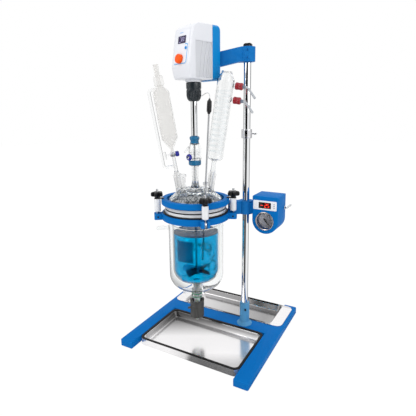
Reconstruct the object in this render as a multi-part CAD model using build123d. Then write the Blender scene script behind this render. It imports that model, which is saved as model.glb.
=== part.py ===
"""Bench glass reactor: a jacketed vessel under a stirrer motor, on a column and a blue steel base.

Millimetres, +Z up. The origin is the centre of the base's footprint, on the surface it stands on.
+X runs to the right along the cross bar, and the front tray is on the -Y side.
"""
import os
from math import atan2, cos, degrees, radians, sin, tan

from build123d import *

os.makedirs("parts", exist_ok=True)

# Base: two side bars and a cross bar
base_width = 470.0
base_depth = 490.0
bar_width = 48.0
bar_top = 26.0
pad_thickness = 2.0
pad_radius = 15.0
pad_inset = 32.0
cross_width = 58.0
cross_center_y = 47.0
bar_round = 2.5

# Steel trays between the bars
tray_wall = 1.5
tray_gap = 0.5
tray_bottom = 0.4
tray_height = 24.0
tray_corner = 22.0
front_tray_front = -206.0
rear_tray_back = 232.0
front_rim_width = 7.5
rear_rim_width = 4.0
rim_height = 5.0
lip_reach = 38.0
lip_thickness = 1.5
lip_gap = 0.3

# Column and its socket
column_x = 98.0
column_radius = 12.5
column_top = 972.0
socket_radius = 17.0
socket_top = 109.0
socket_foot_radius = 27.0
socket_foot_height = 9.0
slip = 0.05

# Where the reactor hangs: reach and swing of the arms from the column
arm_reach = 173.0
arm_swing = 37.8

# Stirrer motor, turned a little against the arm
motor_turn = 33.0
motor_width = 85.0
motor_bottom = 880.0
motor_height = 162.0
motor_front_low = 54.0
motor_front_high = 35.0
motor_chin = 45.0
motor_chin_height = 38.0
motor_brow = 16.0
motor_joint = 42.0
motor_back = 82.0
motor_round = 9.0
vent_count = 13
vent_width = 2.2
vent_pitch = 4.4
vent_depth = 1.6
vent_low = 892.0
vent_high = 982.0
panel_width = 66.0
panel_height = 104.0
panel_thickness = 1.5
display_width = 36.0
display_height = 22.0
display_lift = 22.0
speed_knob_radius = 14.0
speed_knob_length = 12.0
speed_knob_drop = 35.0
power_button_radius = 4.5
power_button_travel = 1.2
power_button_offset = 22.0
power_button_drop = 4.0
power_button_depth = 1.5
collar_radius = 26.0
collar_height = 7.0
spindle_radius = 7.0

# Chuck, shaft and impeller
chuck_radius = 24.0
chuck_top = 872.5
chuck_split = 850.0
chuck_bottom = 815.0
chuck_nose_radius = 17.0
chuck_ribs = 20
shaft_radius = 11.0
shaft_bottom = 706.5
rod_radius = 4.0
impeller_radius = 50.0
impeller_bottom = 238.0
impeller_height = 24.0
hub_radius = 11.0
blade_count = 4
blade_thickness = 3.0
blade_pitch = 35.0

# Stirrer seal on the lid's middle neck
seal_cap_top = 706.0
seal_cap_bottom = 683.0
seal_cap_radius = 16.0
seal_body_radius = 21.5
seal_wall = 3.5
seal_body_bottom = 629.0
seal_collar_radius = 20.5
seal_collar_bottom = 612.0
port_nut_radius = 10.5
port_nut_length = 9.0

# Clamp rings, gaskets and glass flanges
ring_radius = 113.0
ring_bore = 95.0
lower_ring_bottom = 436.0
lower_ring_top = 457.0
gasket_thickness = 3.0
flange_radius = 103.0
vessel_flange_thickness = 10.5
lid_flange_thickness = 10.5
upper_ring_thickness = 18.0

# Swing clamps round the rings
clamp_names = ("left", "front", "right")
clamp_angles = (180.0, -84.0, -17.0)
clamp_circle = 126.0
clamp_pin_height = 446.0
pin_radius = 3.0
eye_radius = 8.0
eye_width = 9.0
lug_width = 28.0
lug_slot = 10.0
lug_reach = 138.0
stud_radius = 4.0
stud_top = 538.0
sleeve_radius = 10.5
sleeve_bottom = 463.0
finger_thickness = 3.0
finger_width = 15.0
finger_reach = 22.0
star_radius = 21.0
star_height = 20.0
star_lobes = 5
star_lobe_radius = 6.0

# Jacketed vessel
vessel_radius = 80.0
glass_wall = 4.0
vessel_bottom = 215.0
vessel_corner = 42.0
jacket_radius = 92.5
jacket_wall = 3.0
jacket_top = 418.0
jacket_bottom = 188.0
jacket_corner = 50.0
jacket_shoulder = 10.0
jacket_port_height = 404.0
nozzle_radius = 6.0
nozzle_bore = 3.5
nozzle_length = 40.0
nozzle_bead = 1.5
nozzle_bead_end = 4.0
low_port_height = 173.0
low_port_reach = 50.0

# Drain under the vessel
drain_radius = 17.0
drain_bore = 11.0
drain_glass_bottom = 128.0
drain_ring_low = 149.0
drain_ring_high = 166.0
drain_grip_radius = 24.5
drain_grip_top = 134.0
drain_collar_bottom = 115.0
drain_grip_bottom = 72.0
drain_grooves = 16
drain_travel = 12.0
spindle_slip = 0.08
outlet_radius = 11.0
outlet_bore = 5.0
outlet_bottom = 62.0

# Lid: a dome with five necks
dome_radius = 91.0
dome_side_top = 500.0
dome_shoulder_radius = 50.0
dome_shoulder_top = 534.0
dome_top = 538.0
dome_side_round = 18.0
dome_crown_round = 30.0
middle_neck_radius = 9.5
middle_neck_bore = 6.0
middle_foot_radius = 15.0
middle_foot_top = 552.0
side_neck_radius = 13.0
side_neck_bore = 10.0
side_neck_top = 585.0
probe_neck_radius = 8.0
probe_neck_top = 562.0
probe_radius = 3.0
probe_slip = 0.3
joint_slip = 0.3

# Addition funnel, leaning out to the left
funnel_place = (-56.0, 0.0, 560.0)
funnel_lean = -9.5
funnel_radius = 26.0
funnel_wall = 2.5
funnel_cone_low = 110.0
funnel_body_low = 142.0
funnel_body_high = 286.0
funnel_neck_low = 304.0
funnel_socket_radius = 15.5
funnel_socket_top = 335.0
funnel_tube_radius = 8.5
funnel_tube_top = 370.0
stem_radius = 6.0
stem_bore = 3.0
cone_joint_low = -22.0
bypass_offset = 36.0
bypass_radius = 4.8
bypass_low = 52.0
bypass_high = 298.0
bypass_bend = 9.0
stopcock_height = 90.0
barrel_radius = 9.0
barrel_half = 8.0
plug_radius = 5.0
plug_handle_length = 24.0
cock_nut_radius = 9.0

# Condenser, leaning out to the right
condenser_place = (51.6, -10.0, 558.0)
condenser_lean = 8.2
condenser_tip = 2.8
condenser_radius = 27.0
condenser_wall = 2.5
condenser_low = 72.0
condenser_high = 322.0
condenser_round = 12.0
condenser_mouth_radius = 16.0
condenser_mouth_rise = 24.0
condenser_lip = 1.5
condenser_lip_height = 4.0
condenser_stem_radius = 8.0
coil_wire = 3.0
coil_turns = 12
coil_low = 92.0
coil_high = 296.0
hose_heights = (310.0, 267.0)
hose_turn = -32.0
hose_nozzle_radius = 7.0
hose_nozzle_end = 41.0
hose_cap_radius = 11.2
hose_cap_start = 35.0
hose_cap_end = 58.0
hose_cap_grooves = 12
barb_hub_radius = 5.5
barb_hub_end = 67.0
barb_tube_radius = 3.2
barb_tube_length = 46.0
barb_tube_drop = 40.0

# Temperature probe
probe_place = (28.0, -42.0, 550.0)
probe_lean = 3.2
probe_low = -250.0
probe_handle_low = 226.0
probe_handle_high = 268.0
probe_handle_radius = 7.0
relief_length = 5.0
relief_radius = 4.0

# Lead of the probe: up from its handle, round behind the chuck and into the motor's underside
lead_radius = 1.0
lead_first_run = 10.5
lead_route = (
    (41.0, -34.6, 839.3),
    (36.3, -21.0, 839.6),
    (31.5, -1.5, 836.0),
    (28.5, 18.0, 831.5),
    (22.5, 33.5, 833.5),
    (14.5, 42.0, 844.0),
    (12.2, 42.0, 860.0),
)
lead_end = (12.2, 42.0, 876.0)
lead_gland_radius = 4.5

# Arms and clamps on the column
block_radius = 24.0
lower_arm_step = 6.0
lower_arm_rise = 29.0
lower_arm_thickness = 26.0
upper_arm_bottom = 936.0
upper_arm_top = 980.0
upper_arm_fall = 12.0
upper_foot_half = 30.0
slot_width = 3.0
column_knob_top = 992.0
boss_height = 711.0
boss_clamp_radius = 18.0
boss_clamp_height = 30.0
thumb_screw_reach = 33.0
screw_radius = 2.5

# Control box beside the column
box_left = 133.0
box_width = 88.0
box_front = 18.0
box_depth = 82.0
box_top = 512.0
box_round_center = 430.0
box_edge = 3.0
gauge_radius = 31.0
gauge_pocket_depth = 8.0
gauge_bezel_proud = 4.0
gauge_lip = 3.5
dial_thickness = 1.2
needle_length = 22.0
needle_thickness = 0.8
box_panel_width = 80.0
box_panel_height = 31.0
box_panel_center = 483.0
window_width = 40.0
window_height = 18.0
vacuum_nozzle_drop = 46.0

# Worked out from the sizes above
column_y = cross_center_y
cross_front = cross_center_y - cross_width / 2
cross_back = cross_center_y + cross_width / 2
bay_half = base_width / 2 - bar_width
lower_gasket_top = lower_ring_top + gasket_thickness
vessel_flange_top = lower_gasket_top + vessel_flange_thickness
seal_top = vessel_flange_top + gasket_thickness
lid_flange_top = seal_top + lid_flange_thickness
upper_gasket_top = lid_flange_top + gasket_thickness
upper_ring_top = upper_gasket_top + upper_ring_thickness
finger_top = upper_ring_top + finger_thickness
axis_x = column_x - arm_reach * cos(radians(arm_swing))
axis_y = column_y - arm_reach * sin(radians(arm_swing))
head = Location((axis_x, axis_y, 0), (0, 0, arm_swing))
motor = head * Rot(0, 0, motor_turn)
column_place = Location((column_x, column_y, 0))
motor_top = motor_bottom + motor_height
box_center_x = box_left + box_width / 2
lower_arm_bottom = lower_ring_bottom + lower_arm_step
lower_arm_top = lower_ring_top + lower_arm_rise
rear_tray_height = bar_top + lip_gap + lip_thickness - tray_bottom

nodes = {}


def keep(name, shape):
    """Give a finished shape its node name."""
    nodes[name] = shape


def disc(radius, low, high):
    """A round bar on the local Z axis between two heights."""
    return Pos(0, 0, low) * Cylinder(radius, high - low, align=(Align.CENTER, Align.CENTER, Align.MIN))


def collar(outer, inner, low, high):
    """A round bar with a hole through it."""
    return disc(outer, low, high) - disc(inner, low - 1, high + 1)


def block(x_range, y_range, z_range):
    """A box given by its limits along each axis."""
    sizes = [high - low for low, high in (x_range, y_range, z_range)]
    low_corner = (x_range[0], y_range[0], z_range[0])
    return Pos(*low_corner) * Box(*sizes, align=(Align.MIN, Align.MIN, Align.MIN))


def turned(points, rounds=()):
    """A solid turned about Z from a closed (radius, height) outline, some corners rounded."""
    face = make_face(Polyline(*points, close=True))
    for radius, height, size in rounds:
        corner = face.vertices().sort_by_distance((radius, height, 0))[0]
        face = fillet(corner, size)
    return revolve(Plane.XZ * face, Axis.Z)


def group(*solids):
    """Separate solids that share one node."""
    return Compound(children=list(solids))


def bent_tube(points, bends, radius):
    """A solid round tube along straight runs joined by arcs."""
    path = FilletPolyline(*points, radius=bends)
    start = Plane(origin=path @ 0, z_dir=path % 0)
    return sweep(start * Circle(radius), path=path)


def make_base():
    """Two side bars joined by a cross bar, on four rubber pads."""
    frame = Part()
    for side in (-1, 1):
        inner = side * bay_half
        outer = side * base_width / 2
        bar = block((min(inner, outer), max(inner, outer)), (-base_depth / 2, base_depth / 2), (pad_thickness, bar_top))
        frame += fillet(bar.edges().filter_by(Axis.Y), bar_round)
    cross = block((-bay_half, bay_half), (cross_front, cross_back), (pad_thickness, bar_top))
    frame += fillet(cross.edges().filter_by(Axis.X), bar_round)
    keep("base_frame", frame)
    pad_x = base_width / 2 - bar_width / 2
    pad_y = base_depth / 2 - pad_inset
    pads = [Pos(x, y, 0) * disc(pad_radius, 0, pad_thickness) for x in (-pad_x, pad_x) for y in (-pad_y, pad_y)]
    keep("foot_pads", group(*pads))


def tray_outline(inset, y_front, y_back):
    """Rounded outline of a tray between the bars, drawn in by an inset."""
    half = bay_half - tray_gap - inset
    middle = Pos(0, (y_front + y_back) / 2, 0)
    return middle * RectangleRounded(2 * half, y_back - y_front - 2 * inset, tray_corner - inset)


def open_tray(y_front, y_back, height):
    """A shallow steel pan with rounded corners, open on top."""
    pan = extrude(tray_outline(0, y_front, y_back), height)
    return pan - Pos(0, 0, tray_wall) * extrude(tray_outline(tray_wall, y_front, y_back), height)


def tray_rim(y_front, y_back, width, top):
    """Black trim round the inside of a tray's edge."""
    rim = extrude(tray_outline(tray_wall, y_front, y_back), rim_height)
    rim -= extrude(tray_outline(tray_wall + width, y_front, y_back), rim_height)
    return Pos(0, 0, top - rim_height) * rim


def make_trays():
    """The drip tray under the drain, and the tray behind the column with its ends over the bars."""
    lift = Pos(0, 0, tray_bottom)
    y_front, y_back = front_tray_front, cross_front - tray_gap
    keep("front_tray", lift * open_tray(y_front, y_back, tray_height))
    keep("front_tray_rim", lift * tray_rim(y_front, y_back, front_rim_width, tray_height))

    y_front, y_back = cross_back + tray_gap, rear_tray_back
    middle = (y_front + y_back) / 2
    lip = Pos(0, middle, 0) * RectangleRounded(2 * (bay_half + lip_reach), y_back - y_front, tray_corner)
    lip = extrude(lip - tray_outline(tray_wall, y_front, y_back), lip_thickness)
    pan = open_tray(y_front, y_back, rear_tray_height)
    keep("rear_tray", lift * (pan + Pos(0, 0, rear_tray_height - lip_thickness) * lip))
    straight = bay_half - tray_corner
    long_sides = block((-straight, straight), (y_front, y_back), (0, rear_tray_height))
    rim = tray_rim(y_front, y_back, rear_rim_width, rear_tray_height)
    keep("rear_tray_rim", lift * (rim & long_sides))


def make_column():
    """The polished column, its socket on the cross bar and the hand knob on top."""
    base_end = bar_top
    socket = collar(socket_radius, column_radius, base_end, socket_top)
    flare = turned(
        (
            (column_radius, base_end),
            (socket_foot_radius, base_end),
            (socket_foot_radius, base_end + socket_foot_height / 3),
            (socket_radius, base_end + socket_foot_height),
            (column_radius, base_end + socket_foot_height),
        )
    )
    keep("column_socket", column_place * (socket + flare))
    keep("column", column_place * disc(column_radius, base_end, column_top))
    stem = disc(column_radius - 1, column_top + 0.2, column_knob_top - 8)
    grip = disc(6, column_knob_top - 8, column_knob_top)
    wing = Pos(0, 0, column_knob_top - 3) * Box(28, 9, 6)
    for side in (-1, 1):
        wing += Pos(side * 12, 0, column_knob_top - 6.5) * Box(4, 9, 5)
    knob = stem + grip + fillet(wing.edges().filter_by(Axis.Z), 1.5)
    keep("column_knob", column_place * knob)


def motor_outline(inset=0.0):
    """Side outline of the motor from its front to the rear cover, as (rearward, height) points."""
    return (
        (-motor_chin + inset, motor_bottom + inset),
        (-motor_front_low + inset, motor_bottom + motor_chin_height),
        (-motor_front_high + inset, motor_top - motor_brow),
        (-motor_brow, motor_top - inset),
        (motor_joint, motor_top - inset),
        (motor_joint, motor_bottom + inset),
    )


def make_motor():
    """The motor's white shell with side vents, and its blue rear cover."""
    side = Plane.XZ * make_face(Polyline(*motor_outline(), close=True))
    shell = extrude(side, motor_width / 2, both=True)
    ends = [e for e in shell.edges().filter_by(Axis.Y) if e.center().X < motor_joint - 1]
    shell = fillet(ends, motor_round)
    rims = [
        e
        for e in shell.edges()
        if abs(abs(e.center().Y) - motor_width / 2) < 0.01 and e.center().X < motor_joint - 0.5
    ]
    shell = fillet(rims, motor_round * 0.7)
    shell += disc(collar_radius, motor_bottom - collar_height, motor_bottom + 1)
    for index in range(vent_count):
        x = motor_joint - 8 - index * vent_pitch
        for side_sign in (-1, 1):
            face_y = side_sign * motor_width / 2
            slot = Box(vent_width, 2 * vent_depth, vent_high - vent_low - 3 * index)
            shell -= Pos(x, face_y, (vent_high + vent_low) / 2) * slot
    shell -= disc(spindle_radius + slip, motor_bottom - collar_height - 1, motor_bottom + 12)
    gland = motor.inverse() * head * Pos(lead_end[0], lead_end[1], 0)
    shell += gland * disc(lead_gland_radius, lead_end[2], motor_bottom + 1)
    pocket = button_axis() * disc(power_button_radius + 0.1, -power_button_depth - power_button_travel - 0.3, 1)
    keep("motor_housing", motor * shell - pocket)

    cover = block(
        (motor_joint, motor_back), (-motor_width / 2 - 1, motor_width / 2 + 1), (motor_bottom - 2, motor_top + 1.5)
    )
    back_edges = [e for e in cover.edges() if e.center().X > motor_back - 1]
    cover = fillet(back_edges, 14)
    keep("motor_rear_cover", motor * cover)


def panel_frame():
    """Middle of the leaning front face, local X pointing into the motor."""
    rise = motor_top - motor_brow - motor_bottom - motor_chin_height
    run = motor_front_low - motor_front_high
    middle_x = -(motor_front_low + motor_front_high) / 2
    middle_z = motor_bottom + motor_chin_height + rise / 2
    return motor * Pos(middle_x, 0, middle_z) * Rot(0, degrees(atan2(run, rise)), 0)


def button_axis():
    """Centre of the power button on the front face, local Z pointing outwards."""
    return panel_frame() * Pos(0, -power_button_offset, -power_button_drop) * Rot(0, -90, 0)


def make_panel():
    """Control panel with its display, speed knob and sprung power button."""
    face = panel_frame()
    half = panel_width / 2
    rise = panel_height / 2 - 2
    plate = block((-panel_thickness, 0), (-half, half), (-rise, rise))
    plate = fillet(plate.edges().filter_by(Axis.X), 6)
    button_hole = Rot(0, -90, 0) * disc(power_button_radius + 0.1, -1, 3)
    plate -= Pos(0, -power_button_offset, -power_button_drop) * button_hole
    knob_hole = Rot(0, -90, 0) * disc(3.05, -1, 3)
    plate -= Pos(0, 0, -speed_knob_drop) * knob_hole
    display = block(
        (-panel_thickness - 1.2, -panel_thickness),
        (-display_width / 2, display_width / 2),
        (display_lift - display_height / 2, display_lift + display_height / 2),
    )
    display = fillet(display.edges().filter_by(Axis.X), 2)
    keep("motor_panel", group(face * plate, face * display))
    skirt = disc(speed_knob_radius, 0.3, speed_knob_length)
    skirt = chamfer(skirt.edges().sort_by(Axis.Z)[-1], 1.5)
    knob = skirt + disc(3, -1.2, 1)
    outward = Pos(-panel_thickness, 0, -speed_knob_drop) * Rot(0, -90, 0)
    keep("speed_knob", face * outward * knob)
    button = disc(power_button_radius, -power_button_depth, panel_thickness + power_button_travel + 0.8)
    keep("power_button", button_axis() * button)


def make_stirrer():
    """Chuck, stepped shaft and pitched-blade impeller: all turn together."""
    body = collar(chuck_radius, shaft_radius, chuck_split, chuck_top)
    cap_low = chuck_top - 8
    body += disc(shaft_radius + 1, cap_low, chuck_top)
    body += disc(spindle_radius, chuck_top - 1, motor_bottom + 11)
    keep("chuck_body", motor * body)
    nose = turned(
        (
            (shaft_radius, chuck_bottom),
            (chuck_nose_radius, chuck_bottom),
            (chuck_radius - 1, chuck_bottom + 12),
            (chuck_radius - 1, chuck_split),
            (shaft_radius, chuck_split),
        )
    )
    for index in range(chuck_ribs):
        groove = Pos(chuck_radius - 1, 0, chuck_split - 14) * Cylinder(1.4, 30)
        nose -= Rot(0, 0, index * 360 / chuck_ribs) * groove
    keep("chuck_sleeve", motor * nose)
    shaft = disc(shaft_radius, shaft_bottom, cap_low) + disc(rod_radius, impeller_bottom, shaft_bottom + 1)
    keep("stirrer_shaft", head * shaft)
    hub = collar(hub_radius, rod_radius, impeller_bottom, impeller_bottom + impeller_height)
    middle = impeller_bottom + impeller_height / 2
    for index in range(blade_count):
        length = impeller_radius - hub_radius + 3
        blade = Box(length, blade_thickness, impeller_height * 1.1)
        blade = Pos(hub_radius - 3 + length / 2, 0, middle) * Rot(blade_pitch, 0, 0) * blade
        hub += Rot(0, 0, 45 + index * 360 / blade_count) * blade
    hub -= disc(rod_radius, impeller_bottom - 20, middle + 40)
    keep("impeller", head * hub)


def make_seal():
    """Stirrer seal: blue cap, clear body with a side port, and blue collar."""
    running = rod_radius + slip
    cap = collar(seal_cap_radius, running, seal_cap_bottom, seal_cap_top)
    low, high = seal_body_bottom, seal_cap_bottom
    body = collar(seal_body_radius, seal_body_radius - seal_wall, low, high)
    body += collar(seal_body_radius, running + 1, low, low + 4)
    body += collar(seal_body_radius, running + 1, high - 4, high)
    port = Rot(0, 0, -140) * Pos(0, 0, 640) * Rot(0, 90, 0)
    body += port * collar(5, 2.5, seal_body_radius - 2, seal_body_radius + 12)
    keep("seal_body", head * body)
    nut = collar(port_nut_radius, 5 + slip, seal_body_radius + 1.5, seal_body_radius + 1.5 + port_nut_length)
    keep("seal_port_nut", head * port * nut)
    foot = collar(seal_collar_radius, running + 1, seal_collar_bottom, low)
    keep("seal_caps", group(head * cap, head * foot))


def make_rings():
    """Lower and upper clamp rings with the gaskets that grip the glass flanges; gives the clamps' pins."""
    lower = collar(ring_radius, ring_bore, lower_ring_bottom, lower_ring_top)
    holes = Part()
    for angle in clamp_angles:
        turn = Rot(0, 0, angle)
        lug = block((ring_radius - 6, lug_reach), (-lug_width / 2, lug_width / 2), (lower_ring_bottom, lower_ring_top))
        lug = fillet(lug.edges().filter_by(Axis.Z).sort_by(Axis.X)[-2:], 5)
        lower += turn * lug
        slot_low, slot_high = lower_ring_bottom - 1, lower_ring_top + 1
        slot = block((ring_radius + 1.5, lug_reach + 1), (-lug_slot / 2, lug_slot / 2), (slot_low, slot_high))
        holes += turn * slot
        holes += turn * Pos(clamp_circle, 0, clamp_pin_height) * Rot(90, 0, 0) * Cylinder(pin_radius, lug_width + 2)
    lower -= holes
    keep("lower_ring", head * lower)
    upper = collar(ring_radius, ring_bore, upper_gasket_top, upper_ring_top)
    upper = fillet(upper.edges().filter_by(GeomType.CIRCLE), 2)
    keep("upper_ring", head * upper)
    pads = [
        collar(flange_radius, ring_bore + 0.5, lower_ring_top, lower_gasket_top),
        collar(flange_radius, ring_bore + 0.5, lid_flange_top, upper_gasket_top),
        collar(flange_radius - 1, vessel_radius + 6, vessel_flange_top, seal_top),
    ]
    keep("flange_gaskets", group(*[head * pad for pad in pads]))
    pins = []
    for angle in clamp_angles:
        bar = Rot(0, 0, angle) * Pos(clamp_circle, 0, clamp_pin_height) * Rot(90, 0, 0)
        pins.append(head * bar * Cylinder(pin_radius, lug_width))
    return pins


def make_clamp(name, angle):
    """One swing clamp: eye bolt with its sleeve and pressing finger, and a star knob."""
    place = head * Rot(0, 0, angle) * Pos(clamp_circle, 0, 0)
    across = Pos(0, 0, clamp_pin_height) * Rot(90, 0, 0)
    eye = across * Cylinder(eye_radius, eye_width)
    bolt = eye + disc(stud_radius, clamp_pin_height, stud_top)
    bolt -= across * Cylinder(pin_radius + slip, eye_width + 2)
    bolt -= disc(eye_radius + 4, clamp_pin_height - 20, clamp_pin_height - eye_radius + 1.5)
    sleeve = collar(sleeve_radius, stud_radius, sleeve_bottom, upper_ring_top + 0.2)
    half = finger_width / 2
    finger = block((-finger_reach, sleeve_radius), (-half, half), (upper_ring_top + 0.2, finger_top))
    finger -= disc(stud_radius, upper_ring_top - 1, finger_top + 1)
    keep("clamp_bolt_" + name, group(place * bolt, place * finger, place * sleeve))
    low = finger_top + 0.2
    star = collar(star_radius - 3, stud_radius + slip, low + 5, low + star_height)
    for index in range(star_lobes):
        lobe = Pos(star_radius - star_lobe_radius, 0, 0) * disc(star_lobe_radius, low + 5, low + star_height)
        star += Rot(0, 0, index * 360 / star_lobes) * lobe
    for index in range(star_lobes):
        gap = Pos(star_radius + 2, 0, 0) * disc(6, low, low + star_height + 1)
        star -= Rot(0, 0, (index + 0.5) * 360 / star_lobes) * gap
    star += collar(9, stud_radius + slip, low, low + 6)
    keep("star_knob_" + name, place * star)


def make_vessel():
    """The inner vessel with its flange and drain tube, and the jacket around it."""
    inner = vessel_radius - glass_wall
    flange_low = lower_gasket_top
    outer_profile = (
        (0, drain_glass_bottom),
        (drain_radius, drain_glass_bottom),
        (drain_radius, vessel_bottom),
        (vessel_radius, vessel_bottom),
        (vessel_radius, flange_low - 12),
        (vessel_radius + 6, flange_low),
        (flange_radius, flange_low),
        (flange_radius, vessel_flange_top),
        (0, vessel_flange_top),
    )
    outside = turned(outer_profile, ((vessel_radius, vessel_bottom, vessel_corner), (drain_radius, vessel_bottom, 6)))
    floor = vessel_bottom + glass_wall
    hollow_profile = (
        (0, drain_glass_bottom - 1),
        (drain_bore, drain_glass_bottom - 1),
        (drain_bore, floor),
        (inner, floor),
        (inner, vessel_flange_top + 1),
        (0, vessel_flange_top + 1),
    )
    hollow = turned(hollow_profile, ((inner, floor, vessel_corner - glass_wall),))
    low_port = Rot(0, 0, 195) * Pos(0, 0, low_port_height) * Rot(0, 90, 0)
    outside += low_port * disc(nozzle_radius - 1.5, drain_radius - 3, low_port_reach)
    hollow += low_port * disc(nozzle_bore - 1, drain_radius - 2, low_port_reach + 1)
    keep("vessel_glass", head * (outside - hollow))

    jacket_inner = jacket_radius - jacket_wall
    jacket = turned(
        (
            (drain_radius, jacket_bottom),
            (jacket_radius, jacket_bottom),
            (jacket_radius, jacket_top),
            (vessel_radius, jacket_top),
            (vessel_radius, jacket_top - jacket_wall),
            (jacket_inner, jacket_top - jacket_wall),
            (jacket_inner, jacket_bottom + jacket_wall),
            (drain_radius, jacket_bottom + jacket_wall),
        ),
        (
            (jacket_radius, jacket_bottom, jacket_corner),
            (jacket_inner, jacket_bottom + jacket_wall, jacket_corner - jacket_wall),
            (jacket_radius, jacket_top, jacket_shoulder),
            (jacket_inner, jacket_top - jacket_wall, jacket_shoulder - jacket_wall),
        ),
    )
    reach = jacket_radius + nozzle_length
    upper = Rot(0, 0, 180) * Pos(0, 0, jacket_port_height) * Rot(0, 90, 0)
    jacket += upper * disc(nozzle_radius + nozzle_bead, jacket_inner - 1, jacket_radius + nozzle_bead_end)
    jacket += upper * disc(nozzle_radius, jacket_inner - 1, reach)
    jacket -= upper * disc(nozzle_bore, jacket_inner - 3, reach + 1)
    keep("jacket_glass", head * jacket)


def make_drain():
    """Bottom outlet: green seal ring, grey collar and turning grip, white spindle and tip."""
    keep("drain_seal_ring", head * collar(drain_radius + 2.5, drain_radius, drain_ring_low, drain_ring_high))
    collar_part = collar(drain_grip_radius, drain_radius, drain_glass_bottom, drain_grip_top)
    collar_part += collar(drain_grip_radius, drain_bore + 1, drain_collar_bottom, drain_glass_bottom)
    for side in (-1, 1):
        ear = block((side * 22 - 3, side * 22 + 3), (-6, 6), (drain_collar_bottom + 4, drain_grip_top + 7))
        collar_part += ear - disc(drain_radius, drain_collar_bottom, drain_grip_top + 20)
    keep("drain_collar", head * collar_part)
    grip_top = drain_collar_bottom - 0.3
    grip = collar(drain_grip_radius - 0.5, outlet_radius + slip, drain_grip_bottom, grip_top)
    for index in range(drain_grooves):
        groove = Pos(drain_grip_radius, 0, (grip_top + drain_grip_bottom) / 2) * Cylinder(1.6, 28)
        grip -= Rot(0, 0, index * 360 / drain_grooves) * groove
    grip += Rot(0, 0, 190) * block((drain_grip_radius - 2, drain_grip_radius + 10), (-3, 3), (grip_top - 10, grip_top - 3))
    keep("drain_grip", head * grip)
    spindle = disc(drain_bore - spindle_slip, drain_grip_bottom + 20, vessel_bottom)
    passage = disc(outlet_bore - 1, drain_grip_bottom + 19, vessel_bottom - 40)
    keep("drain_spindle", head * (spindle - passage))
    tip = collar(outlet_radius, outlet_bore, outlet_bottom, drain_grip_bottom + 20)
    keep("outlet_tip", head * tip)


def lid_necks():
    """Place, outer radius, bore and top of each side neck, in its own leaning frame."""
    funnel_frame = Pos(*funnel_place) * Rot(0, funnel_lean, 0)
    condenser_frame = Pos(*condenser_place) * Rot(condenser_tip, condenser_lean, 0)
    probe_frame = Pos(*probe_place) * Rot(0, probe_lean, 0)
    spare_frame = Pos(-38, 45, side_neck_top - 10)
    return (
        (funnel_frame, side_neck_radius, side_neck_bore, side_neck_top - funnel_place[2]),
        (condenser_frame, side_neck_radius, side_neck_bore, side_neck_top - condenser_place[2]),
        (probe_frame, probe_neck_radius, probe_radius + probe_slip, probe_neck_top - probe_place[2]),
        (spare_frame, side_neck_radius - 1, side_neck_bore - 1, 0.0),
    )


def make_lid():
    """The lid: flange, dome, middle neck and four side necks in one piece of glass."""
    low = seal_top
    outside = turned(
        (
            (0, low),
            (flange_radius, low),
            (flange_radius, lid_flange_top),
            (dome_radius, lid_flange_top),
            (dome_radius, dome_side_top),
            (dome_shoulder_radius, dome_shoulder_top),
            (middle_foot_radius, dome_top),
            (middle_foot_radius, middle_foot_top),
            (middle_neck_radius, middle_foot_top + 6),
            (middle_neck_radius, seal_collar_bottom),
            (0, seal_collar_bottom),
        ),
        (
            (dome_radius, dome_side_top, dome_side_round),
            (dome_shoulder_radius, dome_shoulder_top, dome_crown_round),
        ),
    )
    wall = glass_wall
    hollow = turned(
        (
            (0, low - 1),
            (dome_radius - wall, low - 1),
            (dome_radius - wall, dome_side_top - wall / 2),
            (dome_shoulder_radius - wall / 2, dome_shoulder_top - wall),
            (0, dome_top - wall),
        ),
        (
            (dome_radius - wall, dome_side_top - wall / 2, dome_side_round - wall),
            (dome_shoulder_radius - wall / 2, dome_shoulder_top - wall, dome_crown_round - wall),
        ),
    )
    bores = disc(middle_neck_bore, low, seal_collar_bottom + 1)
    for place, radius, bore, top in lid_necks():
        outside += place * disc(radius, -75, top)
        bores += place * disc(bore, -85, top + 1)
    under = block((-150, 150), (-150, 150), (0, low))
    keep("lid_glass", head * (outside - under - hollow - bores))


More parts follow.
